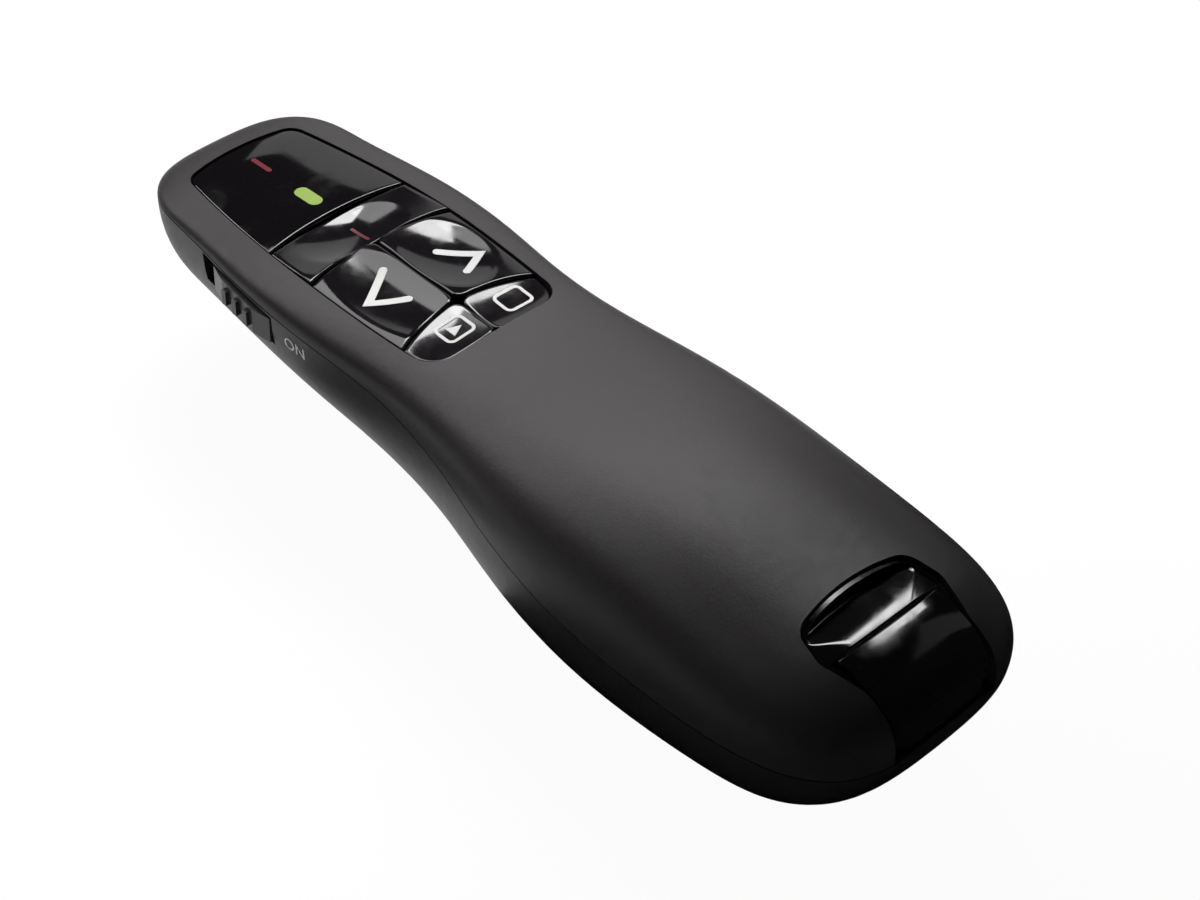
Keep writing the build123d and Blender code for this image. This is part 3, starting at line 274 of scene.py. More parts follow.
finishKinds = [
    # finishes, their effect, the shader's own values, bump strength and depth
    (plasticFinishes, mouldedSkin, {"Specular IOR Level": 0.42, "IOR": 1.45}, (0.25, 0.03)),
    (glossFinishes, handledGloss, {"Specular IOR Level": 0.5, "IOR": 1.5}, (0.06, 0.02)),
    (metalFinishes, drawnMetal, {"Metallic": 1.0}, (0.2, 0.01)),
]
materials = {}
for finishes, effect, shaderValues, bump in finishKinds:
    for name, values in finishes.items():
        materials[name] = finishWith(name, effect, values, shaderValues, bump)


def lightFinish(name, values):
    # a moulded light guide: brighter patches in a deeper colour
    material = finishWith(name, handledGloss, {"Base": values["base"], "Dust": values["edge"],
                                               "Rough": 0.2}, {}, (0.05, 0.02))
    tree = material.node_tree
    shader = tree.nodes["Principled BSDF"]
    place = addNode(tree, "ShaderNodeTexCoord").outputs["Object"]
    patch = addNode(tree, "ShaderNodeTexNoise")
    setInputs(patch, {"Scale": 420, "Detail": 2})
    tree.links.new(place, patch.inputs["Vector"])
    blend = addNode(tree, "ShaderNodeMix", data_type="RGBA")
    setInputs(blend, {6: (*values["edge"], 1), 7: (*values["core"], 1)})
    tree.links.new(ramp(tree, patch.outputs["Fac"], [(0.3, 0), (0.6, 1)]), blend.inputs["Factor"])
    tree.links.new(blend.outputs[2], shader.inputs["Emission Color"])
    shader.inputs["Emission Strength"].default_value = values["glow"]
    return material


lights = {
    "green_light": {"base": (0.20, 0.29, 0.06), "core": (0.27, 0.37, 0.08), "edge": (0.18, 0.28, 0.05),
                    "glow": 0.12},
    "red_light": {"base": (0.10, 0.013, 0.02), "core": (0.17, 0.02, 0.03), "edge": (0.08, 0.009, 0.014),
                  "glow": 0.26},
}
for name, values in lights.items():
    materials[name] = lightFinish(name, values)


def glassFinish(name):
    material = bpy.data.materials.new(name)
    material.use_nodes = True
    tree = material.node_tree
    shader = tree.nodes["Principled BSDF"]
    setInputs(shader, {"Transmission Weight": 1.0, "IOR": 1.5, "Metallic": 0.0})
    effect = addNode(tree, "ShaderNodeGroup", node_tree=handledGloss)
    setInputs(effect, {"Base": (0.93, 0.95, 0.95, 1), "Dust": (0.8, 0.8, 0.8, 1), "Rough": 0.02,
                       "Smear": 0.05})
    tree.links.new(effect.outputs["Color"], shader.inputs["Base Color"])
    tree.links.new(effect.outputs["Roughness"], shader.inputs["Roughness"])
    return material


materials["clear_lens"] = glassFinish("clear_lens")

boardFinish = {"mask": (0.012, 0.10, 0.045), "trace": (0.03, 0.22, 0.09), "trackScale": 420}
cellFinish = {
    "jacket": (0.018, 0.018, 0.020), "band": (0.62, 0.33, 0.12), "steel": (0.7, 0.7, 0.68),
    "rear": -47.0, "front": 2.0,
    "bandFrom": 0.105, "jacketFrom": 0.30, "capFrom": 0.965,  # shares of the way from rear to front
}


def makeBoard(values):
    # solder mask with paler copper tracks under it
    material = finishWith("board", handledGloss, {"Rough": 0.3}, {}, (0.3, 0.03))
    tree = material.node_tree
    shader = tree.nodes["Principled BSDF"]
    place = addNode(tree, "ShaderNodeTexCoord").outputs["Object"]
    tracks = addNode(tree, "ShaderNodeTexBrick", offset=0.5, squash=0.6)
    setInputs(tracks, {"Scale": values["trackScale"], "Mortar Size": 0.06, "Mortar Smooth": 0.1,
                       "Color1": (*values["mask"], 1), "Color2": (*values["mask"], 1),
                       "Mortar": (*values["trace"], 1)})
    tree.links.new(place, tracks.inputs["Vector"])
    tree.links.new(tracks.outputs["Color"], shader.inputs["Base Color"])
    return material


def makeCell(values):
    # plain jacket, a coloured band near one end, bare steel at both ends
    material = finishWith("cell", handledGloss, {"Rough": 0.28}, {}, (0.1, 0.02))
    tree = material.node_tree
    shader = tree.nodes["Principled BSDF"]
    split = addNode(tree, "ShaderNodeSeparateXYZ")
    tree.links.new(addNode(tree, "ShaderNodeTexCoord").outputs["Object"], split.inputs[0])
    along = addNode(tree, "ShaderNodeMapRange")
    setInputs(along, {"From Min": values["rear"] * mmScale, "From Max": values["front"] * mmScale})
    tree.links.new(split.outputs["Y"], along.inputs["Value"])
    bands = addNode(tree, "ShaderNodeValToRGB")
    bands.color_ramp.interpolation = "CONSTANT"
    stops = [(0.0, values["steel"]), (values["bandFrom"], values["band"]),
             (values["jacketFrom"], values["jacket"]), (values["capFrom"], values["steel"])]
    while len(bands.color_ramp.elements) < len(stops):
        bands.color_ramp.elements.new(0.5)
    for element, (at, colour) in zip(bands.color_ramp.elements, stops):
        element.position = at
        element.color = (*colour, 1)
    tree.links.new(along.outputs[0], bands.inputs["Fac"])
    tree.links.new(bands.outputs["Color"], shader.inputs["Base Color"])
    return material


materials["board"] = makeBoard(boardFinish)
materials["cell"] = makeCell(cellFinish)
print("stage: materials,", len(materials))


# ---- CAD nodes that stay ----
def smoothShade(mesh, degrees):
    mesh.shade_smooth()
    mesh.set_sharp_from_angle(angle=math.radians(degrees))


nodeSharpAngle = 32
for part in frame["record"]["subparts"]:
    node = frame["nodes"][part["node"]]
    node.data.materials.clear()
    node.data.materials.append(materials[part["material_slot"]])
    smoothShade(node.data, nodeSharpAngle)
print("stage: CAD nodes dressed")

# ---- casing form, the same curves that shape the shells ----
casing = {
    "tailEnd": -57.75, "noseEnd": 57.75,
    "places": (-46.0, -27.0, -14.0, 7.0, 28.0, 48.0),
    "half": (18.1, 18.1, 17.5, 14.15, 14.8, 12.85),
    "top": (24.2, 25.95, 25.6, 24.15, 23.5, 22.1),
    "base": (2.6, -0.3, -0.15, 3.0, 6.4, 6.8),
    "seam": (15.0, 13.9, 15.4, 19.1, 20.6, 20.35),
    "tipFlat": 0.3,
    "tailPlan": (26.0, 3.5), "tailSide": 14.6, "tailTopPower": 3.3,
    "nosePlan": (9.9, 2.5), "noseSide": 11.9, "noseTopPower": 4.0,
    "noseCentre": 17.5,
    "fullness": (0.67, 0.785, 0.71),  # of the tail, the crown and the nose
    "baseFullness": 0.69,
    "halvings": 26,  # steps of each search for a place on the section curve
}


def slopeAt(index, values):
    places = casing["places"]
    low = max(index - 1, 0)
    high = min(index + 1, len(places) - 1)
    return (values[high] - values[low]) / (places[high] - places[low])


def smoothAlong(y, values):
    places = casing["places"]
    last = len(places) - 1
    if y <= places[0]:
        return values[0] + slopeAt(0, values) * (y - places[0])
    if y >= places[last]:
        return values[last] + slopeAt(last, values) * (y - places[last])
    i = max(k for k in range(last) if places[k] <= y)
    span = places[i + 1] - places[i]
    t = (y - places[i]) / span
    rise = values[i + 1] - values[i]
    lead = span * slopeAt(i, values) - rise
    trail = rise - span * slopeAt(i + 1, values)
    return values[i] + t * rise + t * (1 - t) * (lead * (1 - t) + trail * t)


def rounding(depth, length, power):
    share = min(max(depth / length, 0), 1)
    return (1 - share ** power) ** (1 / power)


def casingAt(y, inset):
    # half width, top, seam height and crown fullness at y
    half = smoothAlong(y, casing["half"]) - inset
    fullTop = smoothAlong(y, casing["top"])
    fullBase = smoothAlong(y, casing["base"])
    seamShare = (smoothAlong(y, casing["seam"]) - fullBase) / (fullTop - fullBase)
    top = fullTop - inset
    base = fullBase + inset
    seam = base + (top - base) * seamShare
    tail, crown, nose = casing["fullness"]
    if y < 0:
        tip = casing["tailEnd"] + inset - casing["tipFlat"]
        length, power = casing["tailPlan"]
        half *= rounding(tip + length - y, length, power)
        into = tip + casing["tailSide"] - y
        top = seam + (top - seam) * rounding(into, casing["tailSide"], casing["tailTopPower"])
        full = tail + (crown - tail) * (1 - y / casing["tailEnd"])
    else:
        tip = casing["noseEnd"] - inset + casing["tipFlat"]
        length, power = casing["nosePlan"]
        half *= rounding(y - tip + length, length, power)
        upper = rounding(y - tip + casing["noseSide"], casing["noseSide"], casing["noseTopPower"])
        top = casing["noseCentre"] + (top - casing["noseCentre"]) * upper
        seam = casing["noseCentre"] + (seam - casing["noseCentre"]) * upper
        full = crown
        shoulder = casing["places"][4]
        if y > shoulder:
            full += (nose - crown) * (y - shoulder) / (casing["noseEnd"] - shoulder)
    return half, top, seam, full


def sectionReach(t, full):
    # share of the half width at t along the section curve, from the seam (0) to the middle (1)
    return (1 - t) ** 3 + 3 * (1 - t) ** 2 * t + 3 * (1 - t) * t * t * full


def sectionRise(t, full):
    # share of the height from the seam at t along the section curve
    return 3 * (1 - t) ** 2 * t * full + 3 * (1 - t) * t * t + t ** 3


def skinHeight(x, y, inset):
    # height of the top face over a point in plan
    half, top, seam, full = casingAt(y, inset)
    share = min(abs(x) / half, 1)
    low, high = 0.0, 1.0
    for _ in range(casing["halvings"]):
        t = (low + high) / 2
        if sectionReach(t, full) > share:
            low = t
        else:
            high = t
    return seam + (top - seam) * sectionRise(t, full)


def skinPlace(x, y, inset):
    return Vector((x, y, skinHeight(x, y, inset)))


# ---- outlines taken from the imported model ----
rimSearch = {"weld": 1e-6, "sideRise": 0.25, "faceRise": 0.45}  # metres, then how far up a face looks


def planRim(nodeName, facing):
    # plan outline of a node: the largest loop of edges between its sides and its top (1) or base (-1)
    source = bmesh.new()
    source.from_mesh(frame["nodes"][nodeName].data)
    bmesh.ops.remove_doubles(source, verts=source.verts, dist=rimSearch["weld"])
    source.normal_update()
    links = {}
    for edge in source.edges:
        if len(edge.link_faces) != 2:
            continue
        rises = sorted(face.normal.z * facing for face in edge.link_faces)
        if abs(rises[0]) < rimSearch["sideRise"] and rises[1] > rimSearch["faceRise"]:
            a, b = edge.verts
            links.setdefault(a, []).append(b)
            links.setdefault(b, []).append(a)
    loops = []
    left = set(links)
    while left:
        start = min(left, key=lambda vert: (round(vert.co.y, 7), round(vert.co.x, 7)))
        loop = [start]
        left.discard(start)
        step = next((v for v in links[start] if v in left), None)
        while step is not None:
            loop.append(step)
            left.discard(step)
            step = next((v for v in links[step] if v in left), None)
        loops.append([(v.co.x / mmScale, v.co.y / mmScale) for v in loop])
    source.free()
    outline = max(loops, key=lambda loop: abs(planArea(loop)))
    return outline if planArea(outline) > 0 else outline[::-1]


def planArea(loop):
    return sum(a[0] * b[1] - b[0] * a[1] for a, b in zip(loop, loop[1:] + loop[:1])) / 2


def evenLoop(loop, pitch, least=0.05):
    # the same outline with points no further apart than the pitch, and none closer than a share of it
    points = []
    for (ax, ay), (bx, by) in zip(loop, loop[1:] + loop[:1]):
        span = math.hypot(bx - ax, by - ay)
        if span < pitch * least:
            continue
        count = max(1, math.ceil(span / pitch))
        points += [(ax + (bx - ax) * k / count, ay + (by - ay) * k / count) for k in range(count)]
    return points


def drawnIn(loop, distance, sharpest=0.5):
    # every point moved inwards by the distance, square to the outline, less far at sharp corners
    moved = []
    count = len(loop)
    for i, (x, y) in enumerate(loop):
        ax, ay = loop[i - 1]
        bx, by = loop[(i + 1) % count]
        before = Vector((x - ax, y - ay)).normalized()
        after = Vector((bx - x, by - y)).normalized()
        inward = Vector((-before.y - after.y, before.x + after.x))
        spread = max(inward.length_squared / 2, sharpest)
        moved.append((x + inward.x * distance / spread, y + inward.y * distance / spread))
    return moved


def meshObject(name, verts, faces, material, degrees=40):
    mesh = bpy.data.meshes.new(name)
    mesh.from_pydata([tuple(v * mmScale) for v in verts], [], faces)
    mesh.materials.append(material)
    smoothShade(mesh, degrees)
    piece = bpy.data.objects.new(name, mesh)
    scene.collection.objects.link(piece)
    return piece


def outwardOf(height, x, y, step=0.05):
    # outward direction of the surface height(x, y)
    across = Vector((2 * step, 0, height(x + step, y) - height(x - step, y)))
    along = Vector((0, 2 * step, height(x, y + step) - height(x, y - step)))
    return across.cross(along).normalized()


def relaxed(loop, times):
    # each point drawn halfway to the middle of its neighbours, which takes folds out of tight corners
    for _ in range(times):
        loop = [((loop[i - 1][0] + 2 * x + loop[(i + 1) % len(loop)][0]) / 4,
                 (loop[i - 1][1] + 2 * y + loop[(i + 1) % len(loop)][1]) / 4)
                for i, (x, y) in enumerate(loop)]
    return loop


capMesh = {"pitch": 0.28, "rings": 26, "steps": 5, "rimRelax": 6, "ringRelax": 3}


def cappedForm(name, loop, centre, height, low, edge, material):
    # a cap with straight sides, a rounded rim and a top that follows height(x, y)
    rings, steps = capMesh["rings"], capMesh["steps"]
    loop = evenLoop(loop, capMesh["pitch"])
    rim = relaxed(drawnIn(loop, edge), capMesh["rimRelax"])
    layers = [[Vector((x, y, low)) for x, y in loop]]
    for k in range(steps + 1):
        turn = math.pi / 2 * k / steps
        share, fall = 1 - math.cos(turn), edge * (1 - math.sin(turn))
        ring = [(x + (u - x) * share, y + (v - y) * share) for (x, y), (u, v) in zip(loop, rim)]
        layers.append([Vector((x, y, height(x, y) - fall)) for x, y in ring])
    for k in range(1, rings):
        share = 1 - k / rings
        rim = relaxed(rim, capMesh["ringRelax"])
        ring = [(centre[0] + (x - centre[0]) * share, centre[1] + (y - centre[1]) * share)
                for x, y in rim]
        layers.append([Vector((x, y, height(x, y))) for x, y in ring])
    count = len(loop)
    verts = [v for layer in layers for v in layer]
    verts.append(Vector((*centre, height(*centre))))
    faces = [tuple(range(count))[::-1]]
    for k in range(len(layers) - 1):
        for i in range(count):
            j = (i + 1) % count
            faces.append((k * count + i, k * count + j, (k + 1) * count + j, (k + 1) * count + i))
    start = (len(layers) - 1) * count
    faces += [(start + i, start + (i + 1) % count, len(verts) - 1) for i in range(count)]
    cap = meshObject(name, verts, faces, material)
    fixed = (steps + 2) * count  # the sides and rim keep the normals that their faces give
    normals = [(0, 0, 0)] * fixed + [tuple(outwardOf(height, v.x, v.y)) for v in verts[fixed:]]
    cap.data.normals_split_custom_set_from_vertices(normals)
    return cap


# ---- keys and window ----
keySettings = {"drop": 0.15, "skirt": 20.7, "edge": 0.32, "grow": 0.10}
dishes = {
    # node: middle of the cap, lift, then hollows as centre, half size across and along, depth
    "laser_button": {"centre": (0.0, 31.4), "lift": 0.30,
                     "hollows": [((0.0, 35.0), (12.0, 12.0), 0.90), ((-0.5, 31.2), (7.0, 4.5), 0.64)]},
    "previous_button": {"centre": (-5.0, 20.6), "lift": 0.0,
                        "hollows": [((-4.6, 19.8), (4.7, 9.6), 0.60)]},
    "next_button": {"centre": (5.0, 20.6), "lift": 0.0,
                    "hollows": [((4.6, 21.0), (5.0, 6.8), 0.74)]},
    "slideshow_button": {"centre": (-4.9, 10.6), "lift": 0.0,
                         "hollows": [((-4.7, 10.2), (5.4, 4.6), 0.42)]},
    "blank_button": {"centre": (4.9, 10.6), "lift": 0.0,
                     "hollows": [((4.5, 9.4), (9.0, 4.8), 0.68)]},
}


def bowl(reach, soft=0.16):
    # depth share of a round hollow: even from the rim inwards, with the rim itself rounded over
    if reach <= -soft:
        return 0.0
    return reach if reach >= soft else (reach + soft) ** 2 / (4 * soft)


def dishedHeight(values):
    def height(x, y):
        z = skinHeight(x, y, keySettings["drop"]) + values["lift"]
        for centre, half, depth in values["hollows"]:
            u, v = (x - centre[0]) / half[0], (y - centre[1]) / half[1]
            z -= depth * bowl(1 - u * u - v * v)
        return z
    return height


keyHeights = {name: dishedHeight(values) for name, values in dishes.items()}
for name, values in dishes.items():
    outline = drawnIn(evenLoop(planRim(name, -1), capMesh["pitch"]), -keySettings["grow"])
    key = cappedForm(name + "_cap", outline, values["centre"], keyHeights[name],
                     keySettings["skirt"], keySettings["edge"], materials["gloss_key"])
    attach(key, name.replace("button", "key"))
    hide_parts(name)

windowSettings = {"centre": (0.0, 44.0), "low": 19.9, "edge": 0.25, "sink": 0.17, "grow": 0.10}
windowRim = drawnIn(evenLoop(planRim("window_panel", 1), capMesh["pitch"]), -windowSettings["grow"])
window = cappedForm("status_window", windowRim, windowSettings["centre"],
                    lambda x, y: skinHeight(x, y, windowSettings["sink"]),
                    windowSettings["low"], windowSettings["edge"], materials["smoked_window"])
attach(window, "casing")
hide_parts("window_panel")
print("stage: keys and window")

# ---- scoop over the receiver ----
scoop = {
    "rear": -48.75, "frontMid": -43.35, "frontBow": 1.1, "frontHalf": 8.0,
    "halfRear": 8.05, "halfFront": 7.75, "floor": 22.50, "slope": 0.12, "crown": -0.005,
    "wallRound": 0.6, "sideSweep": 0.8, "roll": 2.2, "rollRate": 0.05,
    "under": 0.75, "columns": 56, "rows": 36, "rowBias": 0.8, "thick": 0.04, "sharpAngle": 60,
}


def scoopHeight(values, x, y, half, front):
    # floor that rises towards the rear, sweeps up into the walls and rolls off at its rear edge
    def sweep(distance):
        share = max(0.0, 1 - distance / values["wallRound"])
        return values["wallRound"] * (1 - math.sqrt(max(0.0, 1 - share * share)))

    walls = sweep(front - y) + values["sideSweep"] * sweep(half - abs(x))
    past = max(0.0, values["rear"] + values["roll"] - y)
    z = values["floor"] + walls - values["slope"] * (y - front)
    z -= values["rollRate"] * past ** 2 + values["crown"] * x * x
    return min(z, skinHeight(x, y, 0) - values["under"])


def makeScoop(values):
    verts, faces = [], []
    columns, rows = values["columns"], values["rows"]
    for j in range(rows + 1):
        t = (j / rows) ** values["rowBias"]
        half = values["halfRear"] + (values["halfFront"] - values["halfRear"]) * t
        for i in range(columns + 1):
            x = half * math.sin(math.pi / 2 * (2 * i / columns - 1))
            front = values["frontMid"] - values["frontBow"] * (x / values["frontHalf"]) ** 2
            y = values["rear"] + (front - values["rear"]) * t
            verts.append(Vector((x, y, scoopHeight(values, x, y, half, front))))
    for j in range(rows):
        for i in range(columns):
            a = j * (columns + 1) + i
            faces.append((a, a + 1, a + columns + 2, a + columns + 1))
    liner = meshObject("scoop_liner", verts, faces, materials["gloss_dock"], values["sharpAngle"])
    thick = liner.modifiers.new("thick", "SOLIDIFY")
    thick.thickness = values["thick"] * mmScale
    thick.offset = -1
    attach(liner, "casing")


makeScoop(scoop)
print("stage: scoop")

# ---- printed marks ----
markSettings = {
    "lift": 0.05, "thick": 0.14, "pitch": 0.22, "sharpAngle": 30,
    "mottle": 0.86, "grain": 5200,
    "colours": {"white": (0.50, 0.50, 0.49), "red": (0.10, 0.015, 0.020), "grey": (0.62, 0.61, 0.62)},
    "rough": {"white": 0.35, "red": 0.3, "grey": 0.4},
}


def inkFinish(name, colour, rough):
    shade = tuple(value * markSettings["mottle"] for value in colour)
    values = {"Base": colour, "Shade": shade, "Grain Scale": markSettings["grain"], "Rough": rough}
    return finishWith(name, mouldedSkin, values, {"Specular IOR Level": 0.4}, (0.15, 0.02))


inks = {}
for name, colour in markSettings["colours"].items():
    inks[name] = inkFinish(name + "_ink", colour, markSettings["rough"][name])


def strokeOutline(points, width, capSteps=8, sharpest=0.6):
    # closed outline of a line of even width with round ends
    half = width / 2
    left, right = [], []
    for i, (x, y) in enumerate(points):
        before = Vector(points[i]) - Vector(points[max(i - 1, 0)])
        after = Vector(points[min(i + 1, len(points) - 1)]) - Vector(points[i])
        before = (before if before.length else after).normalized()
        after = (after if after.length else before).normalized()
        side = Vector((-before.y - after.y, before.x + after.x))
        side *= half / max(side.length_squared / 2, sharpest)
        left.append((x + side.x, y + side.y))
        right.append((x - side.x, y - side.y))

    def cap(centre, start):
        first = math.atan2(start[1] - centre[1], start[0] - centre[0])
        turns = [first - math.pi * k / capSteps for k in range(1, capSteps)]
        return [(centre[0] + half * math.cos(turn), centre[1] + half * math.sin(turn)) for turn in turns]

    return left + cap(points[-1], left[-1]) + right[::-1] + cap(points[0], right[0])


def roundedBox(centre, size, corner, cornerSteps=6):
    points = []
    for quarter, (sx, sy) in enumerate(((1, 1), (-1, 1), (-1, -1), (1, -1))):
        for k in range(cornerSteps + 1):
            angle = math.pi / 2 * (quarter + k / cornerSteps)
            x = sx * (size[0] / 2 - corner) + corner * math.cos(angle)
            y = sy * (size[1] / 2 - corner) + corner * math.sin(angle)
            points.append((centre[0] + x, centre[1] + y))
    return points


def flatMeshOf(name, curve):
    # the curve's filled form as a plain mesh
    holder = bpy.data.objects.new(name, curve)
    scene.collection.objects.link(holder)
    bpy.context.view_layer.update()
    flat = bpy.data.meshes.new_from_object(holder.evaluated_get(bpy.context.evaluated_depsgraph_get()))
    bpy.data.objects.remove(holder)
    return flat


def flatForm(loops):
    # filled 2D curve of the loops, holes left open, with points close together
    curve = bpy.data.curves.new("flat", "CURVE")
    curve.dimensions = "2D"
    curve.fill_mode = "BOTH"
    for loop in loops:
        points = evenLoop(loop, markSettings["pitch"])
        spline = curve.splines.new("POLY")
        spline.points.add(len(points) - 1)
        for point, (x, y) in zip(spline.points, points):
            point.co = (x, y, 0, 1)
        spline.use_cyclic_u = True
    return flatMeshOf("flat", curve)


def layMark(name, flat, place, material, body):
    # the flat form laid on a surface: place(x, y) gives the point and its outward direction
    shape = bmesh.new()
    shape.from_mesh(flat)
    bmesh.ops.remove_doubles(shape, verts=shape.verts, dist=1e-5)
    made = bmesh.ops.extrude_face_region(shape, geom=list(shape.faces))
    raised = {v for v in made["geom"] if isinstance(v, bmesh.types.BMVert)}
    for vert in shape.verts:
        spot, outward = place(vert.co.x, vert.co.y)
        rise = markSettings["lift"] if vert in raised else markSettings["lift"] - markSettings["thick"]
        vert.co = (spot + outward * rise) * mmScale
    bmesh.ops.recalc_face_normals(shape, faces=shape.faces)
    mesh = bpy.data.meshes.new(name)
    shape.to_mesh(mesh)
    shape.free()
    mesh.materials.append(material)
    smoothShade(mesh, markSettings["sharpAngle"])
    piece = bpy.data.objects.new(name, mesh)
    scene.collection.objects.link(piece)
    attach(piece, body)
    return piece


def onKey(node):
    height = keyHeights[node]

    def place(x, y):
        return Vector((x, y, height(x, y))), outwardOf(height, x, y)

    return place


def boxFrame(centre):
    # a thin frame with round corners
    return [roundedBox(centre, (4.0, 3.3), 0.85), roundedBox(centre, (3.2, 2.5), 0.45)]


keyMarks = {
    # name: node, ink, outlines
    "back_mark": ("previous_button", "white",
                  [strokeOutline([(-2.5, 23.5), (-7.3, 20.3), (-3.5, 18.0)], 0.95)]),
    "forward_mark": ("next_button", "white",
                     [strokeOutline([(4.3, 22.3), (7.5, 18.7), (4.4, 17.3)], 0.95)]),
    "laser_mark": ("laser_button", "red", [strokeOutline([(0.35, 29.5), (0.35, 32.3)], 0.42)]),
    "slideshow_frame": ("slideshow_button", "white", boxFrame((-3.3, 10.6))),
    "slideshow_play": ("slideshow_button", "white", [[(-4.0, 9.8), (-2.3, 10.6), (-4.0, 11.4)]]),
    "blank_frame": ("blank_button", "white", boxFrame((5.1, 10.5))),
}
for name, (node, ink, loops) in keyMarks.items():
    layMark(name, flatForm(loops), onKey(node), inks[ink], node.replace("button", "key"))


# ---- red light seen through the window, and the word beside the power slider ----
redLight = {"centre": (0.0, 48.3), "size": (0.62, 3.5), "corner": 0.3, "sink": 0.155}
redBar = flatForm([roundedBox(redLight["centre"], redLight["size"], redLight["corner"])])
redLens = layMark("red_light_lens", redBar,
                  lambda x, y: (skinPlace(x, y, redLight["sink"]), Vector((0, 0, 1))),
                  materials["red_light"], "casing")
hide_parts("red_light_guide")

onWord = {"text": "ON", "size": 2.2, "centre": (24.1, 18.3), "keel": 14.2, "facing": (-1, 0, -0.05),
          "halvings": 24}


def flankPlace(x, y):
    # x runs rearwards along the left flank and y up it; the keel is the casing's depth under its seam
    along = onWord["centre"][0] - x
    z = onWord["centre"][1] + y
    half, _, seam, _ = casingAt(along, 0)
    full = casing["baseFullness"]
    share = min(max((seam - z) / onWord["keel"], 0.0), 1.0)
    low, high = 0.0, 1.0
    for _ in range(onWord["halvings"]):
        t = (low + high) / 2
        if sectionRise(t, full) < share:
            low = t
        else:
            high = t
    return Vector((-half * sectionReach(t, full), along, z)), Vector(onWord["facing"]).normalized()


def wordForm(text, size):
    curve = bpy.data.curves.new("word", "FONT")
    curve.body = text
    curve.size = size
    curve.align_x = "CENTER"
    curve.align_y = "CENTER"
    return flatMeshOf("word", curve)


layMark("on_word", wordForm(onWord["text"], onWord["size"]), flankPlace, inks["grey"], "casing")
print("stage: marks")

# ---- floor, world and lamps ----
studio = {
    # metres here
    "floorSize": 3.0,
    "floorColour": (0.80, 0.80, 0.80),
    "floorWhite": 0.96,
    "fill": 0.26,
    "surround": 1.45,
    "velvet": (0.004, 0.004, 0.004),
    "lamps": [
        # name, bearing and height in degrees, distance, size, power, seen in reflections
        ("sideBox", 36.0, 17.0, 1.20, (0.93, 0.58), 1.35, True),
        ("keyBox", 40.0, 53.0, 1.20, (0.42, 0.24), 5.0, True),
        ("headBox", 10.0, 54.0, 1.20, (0.17, 0.33), 2.6, True),
        ("frontBox", 91.0, 52.0, 1.20, (0.95, 0.46), 5.2, True),
        ("noseBox", 102.0, 34.0, 1.20, (0.34, 0.20), 1.6, True),
        ("headGlow", -24.0, 40.0, 1.20, (0.60, 0.60), 0.30, True),
        ("softTop", 37.0, 44.0, 1.15, (0.60, 0.60), 15.8, False),
    ],
    # black cards that only reflections see
    "cards": [
        ("tailCard", [(-0.40, -0.22, 0.0), (0.60, -0.22, 0.0), (0.60, -0.22, 0.6), (-0.40, -0.22, 0.6)]),
        ("tailMat", [(-0.30, -0.22, 0.0008), (0.40, -0.22, 0.0008), (0.40, -0.03, 0.0008),
                     (-0.30, 0.010, 0.0008)]),
        ("waistMat", [(-0.30, 0.013, 0.0008), (-0.0175, 0.013, 0.0008), (-0.0175, 0.035, 0.0008),
                      (-0.30, 0.035, 0.0008)]),
        ("rightMat", [(0.088, -0.05, 0.0008), (0.60, -0.05, 0.0008), (0.60, 0.30, 0.0008),
                      (0.010, 0.30, 0.0008)]),
    ],
    # cards that only hold the lamps off the tail
    "flags": [
        ("tailFlag", [(-0.030, -0.074, 0.087), (0.102, -0.074, 0.087), (0.102, 0.006, 0.087),
                      (-0.030, 0.012, 0.087)]),
    ],
    "aim": (0.0, 0.0, 0.012),
}


def seenWhite(tree):
    # 1 for rays that should find the floor or the world plain white
    path = addNode(tree, "ShaderNodeLightPath")
    first = addNode(tree, "ShaderNodeMath", operation="MAXIMUM")
    second = addNode(tree, "ShaderNodeMath", operation="MAXIMUM")
    tree.links.new(path.outputs["Is Camera Ray"], first.inputs[0])
    tree.links.new(path.outputs["Is Glossy Ray"], first.inputs[1])
    tree.links.new(first.outputs[0], second.inputs[0])
    tree.links.new(path.outputs["Is Transmission Ray"], second.inputs[1])
    return second.outputs[0]


def makeFloor(values):
    half = values["floorSize"] / 2
    mesh = bpy.data.meshes.new("floor")
    corners = [(-half, -half, 0), (half, -half, 0), (half, half, 0), (-half, half, 0)]
    mesh.from_pydata(corners, [], [(0, 1, 2, 3)])
    floor = bpy.data.objects.new("floor", mesh)
    scene.collection.objects.link(floor)
    material = bpy.data.materials.new("floor")
    material.use_nodes = True
    tree = material.node_tree
    tree.nodes.clear()
    paper = addNode(tree, "ShaderNodeBsdfDiffuse")
    paper.inputs["Color"].default_value = (*values["floorColour"], 1)
    glow = addNode(tree, "ShaderNodeEmission")
    amount = addNode(tree, "ShaderNodeMath", operation="MULTIPLY")
    amount.inputs[1].default_value = values["floorWhite"]
    tree.links.new(seenWhite(tree), amount.inputs[0])
    both = addNode(tree, "ShaderNodeMixShader")
    tree.links.new(amount.outputs[0], both.inputs[0])
    tree.links.new(paper.outputs[0], both.inputs[1])
    tree.links.new(glow.outputs[0], both.inputs[2])
    output = addNode(tree, "ShaderNodeOutputMaterial")
    tree.links.new(both.outputs[0], output.inputs["Surface"])
    mesh.materials.append(material)


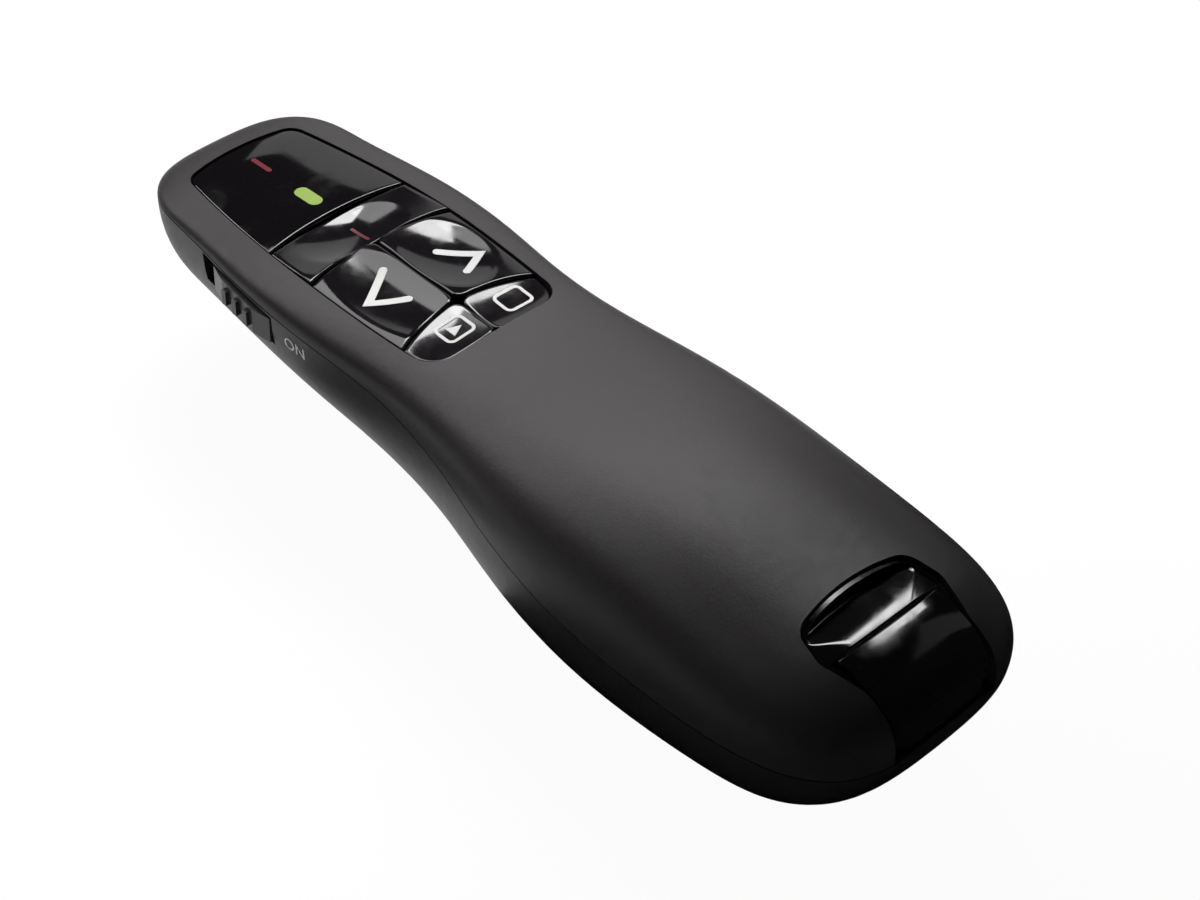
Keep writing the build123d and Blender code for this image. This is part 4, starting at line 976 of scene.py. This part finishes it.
def makeWorld(values):
    world = bpy.data.worlds.new("studio")
    scene.world = world
    world.use_nodes = True
    tree = world.node_tree
    tree.nodes.clear()
    dim = addNode(tree, "ShaderNodeBackground")
    dim.inputs["Strength"].default_value = values["fill"]
    white = addNode(tree, "ShaderNodeBackground")
    both = addNode(tree, "ShaderNodeMixShader")
    tree.links.new(seenWhite(tree), both.inputs[0])
    tree.links.new(dim.outputs[0], both.inputs[1])
    tree.links.new(white.outputs[0], both.inputs[2])
    output = addNode(tree, "ShaderNodeOutputWorld")
    tree.links.new(both.outputs[0], output.inputs["Surface"])


def makeLamp(name, bearing, height, distance, size, power, mirrored, aim):
    data = bpy.data.lights.new(name, "AREA")
    data.shape = "RECTANGLE"
    data.size, data.size_y = size
    data.energy = power
    lamp = bpy.data.objects.new(name, data)
    turn, rise = math.radians(bearing), math.radians(height)
    toward = Vector((math.cos(turn) * math.cos(rise), math.sin(turn) * math.cos(rise), math.sin(rise)))
    lamp.location = Vector(aim) + toward * distance
    lamp.rotation_euler = (-toward).to_track_quat("-Z", "Y").to_euler()
    lamp.visible_glossy = mirrored
    scene.collection.objects.link(lamp)


def blackVelvet(colour):
    velvet = bpy.data.materials.new("velvet")
    velvet.use_nodes = True
    setInputs(velvet.node_tree.nodes["Principled BSDF"],
              {"Base Color": (*colour, 1), "Specular IOR Level": 0.0, "Roughness": 1.0})
    return velvet


def makeCard(name, corners, velvet, shades):
    mesh = bpy.data.meshes.new(name)
    mesh.from_pydata(corners, [], [(0, 1, 2, 3)])
    mesh.materials.append(velvet)
    card = bpy.data.objects.new(name, mesh)
    card.visible_camera = False
    card.visible_diffuse = False
    card.visible_glossy = not shades
    card.visible_shadow = shades
    card.visible_transmission = False
    scene.collection.objects.link(card)


def makeSurround(radius, velvet):
    # black velvet round the set, out of the camera's sight, as for any dark product
    mesh = bpy.data.meshes.new("surround")
    shape = bmesh.new()
    bmesh.ops.create_uvsphere(shape, u_segments=48, v_segments=24, radius=radius)
    low = [face for face in shape.faces if face.calc_center_median().z < 0]
    bmesh.ops.delete(shape, geom=low, context="FACES")
    shape.to_mesh(mesh)
    shape.free()
    mesh.materials.append(velvet)
    dome = bpy.data.objects.new("surround", mesh)
    dome.visible_camera = False
    dome.visible_transmission = False
    scene.collection.objects.link(dome)


makeFloor(studio)
makeWorld(studio)
velvet = blackVelvet(studio["velvet"])
makeSurround(studio["surround"], velvet)
for kind, shades in (("cards", False), ("flags", True)):
    for name, corners in studio[kind]:
        makeCard(name, corners, velvet, shades)
for name, bearing, height, distance, size, power, mirrored in studio["lamps"]:
    makeLamp(name, bearing, height, distance, size, power, mirrored, studio["aim"])
print("stage: studio")
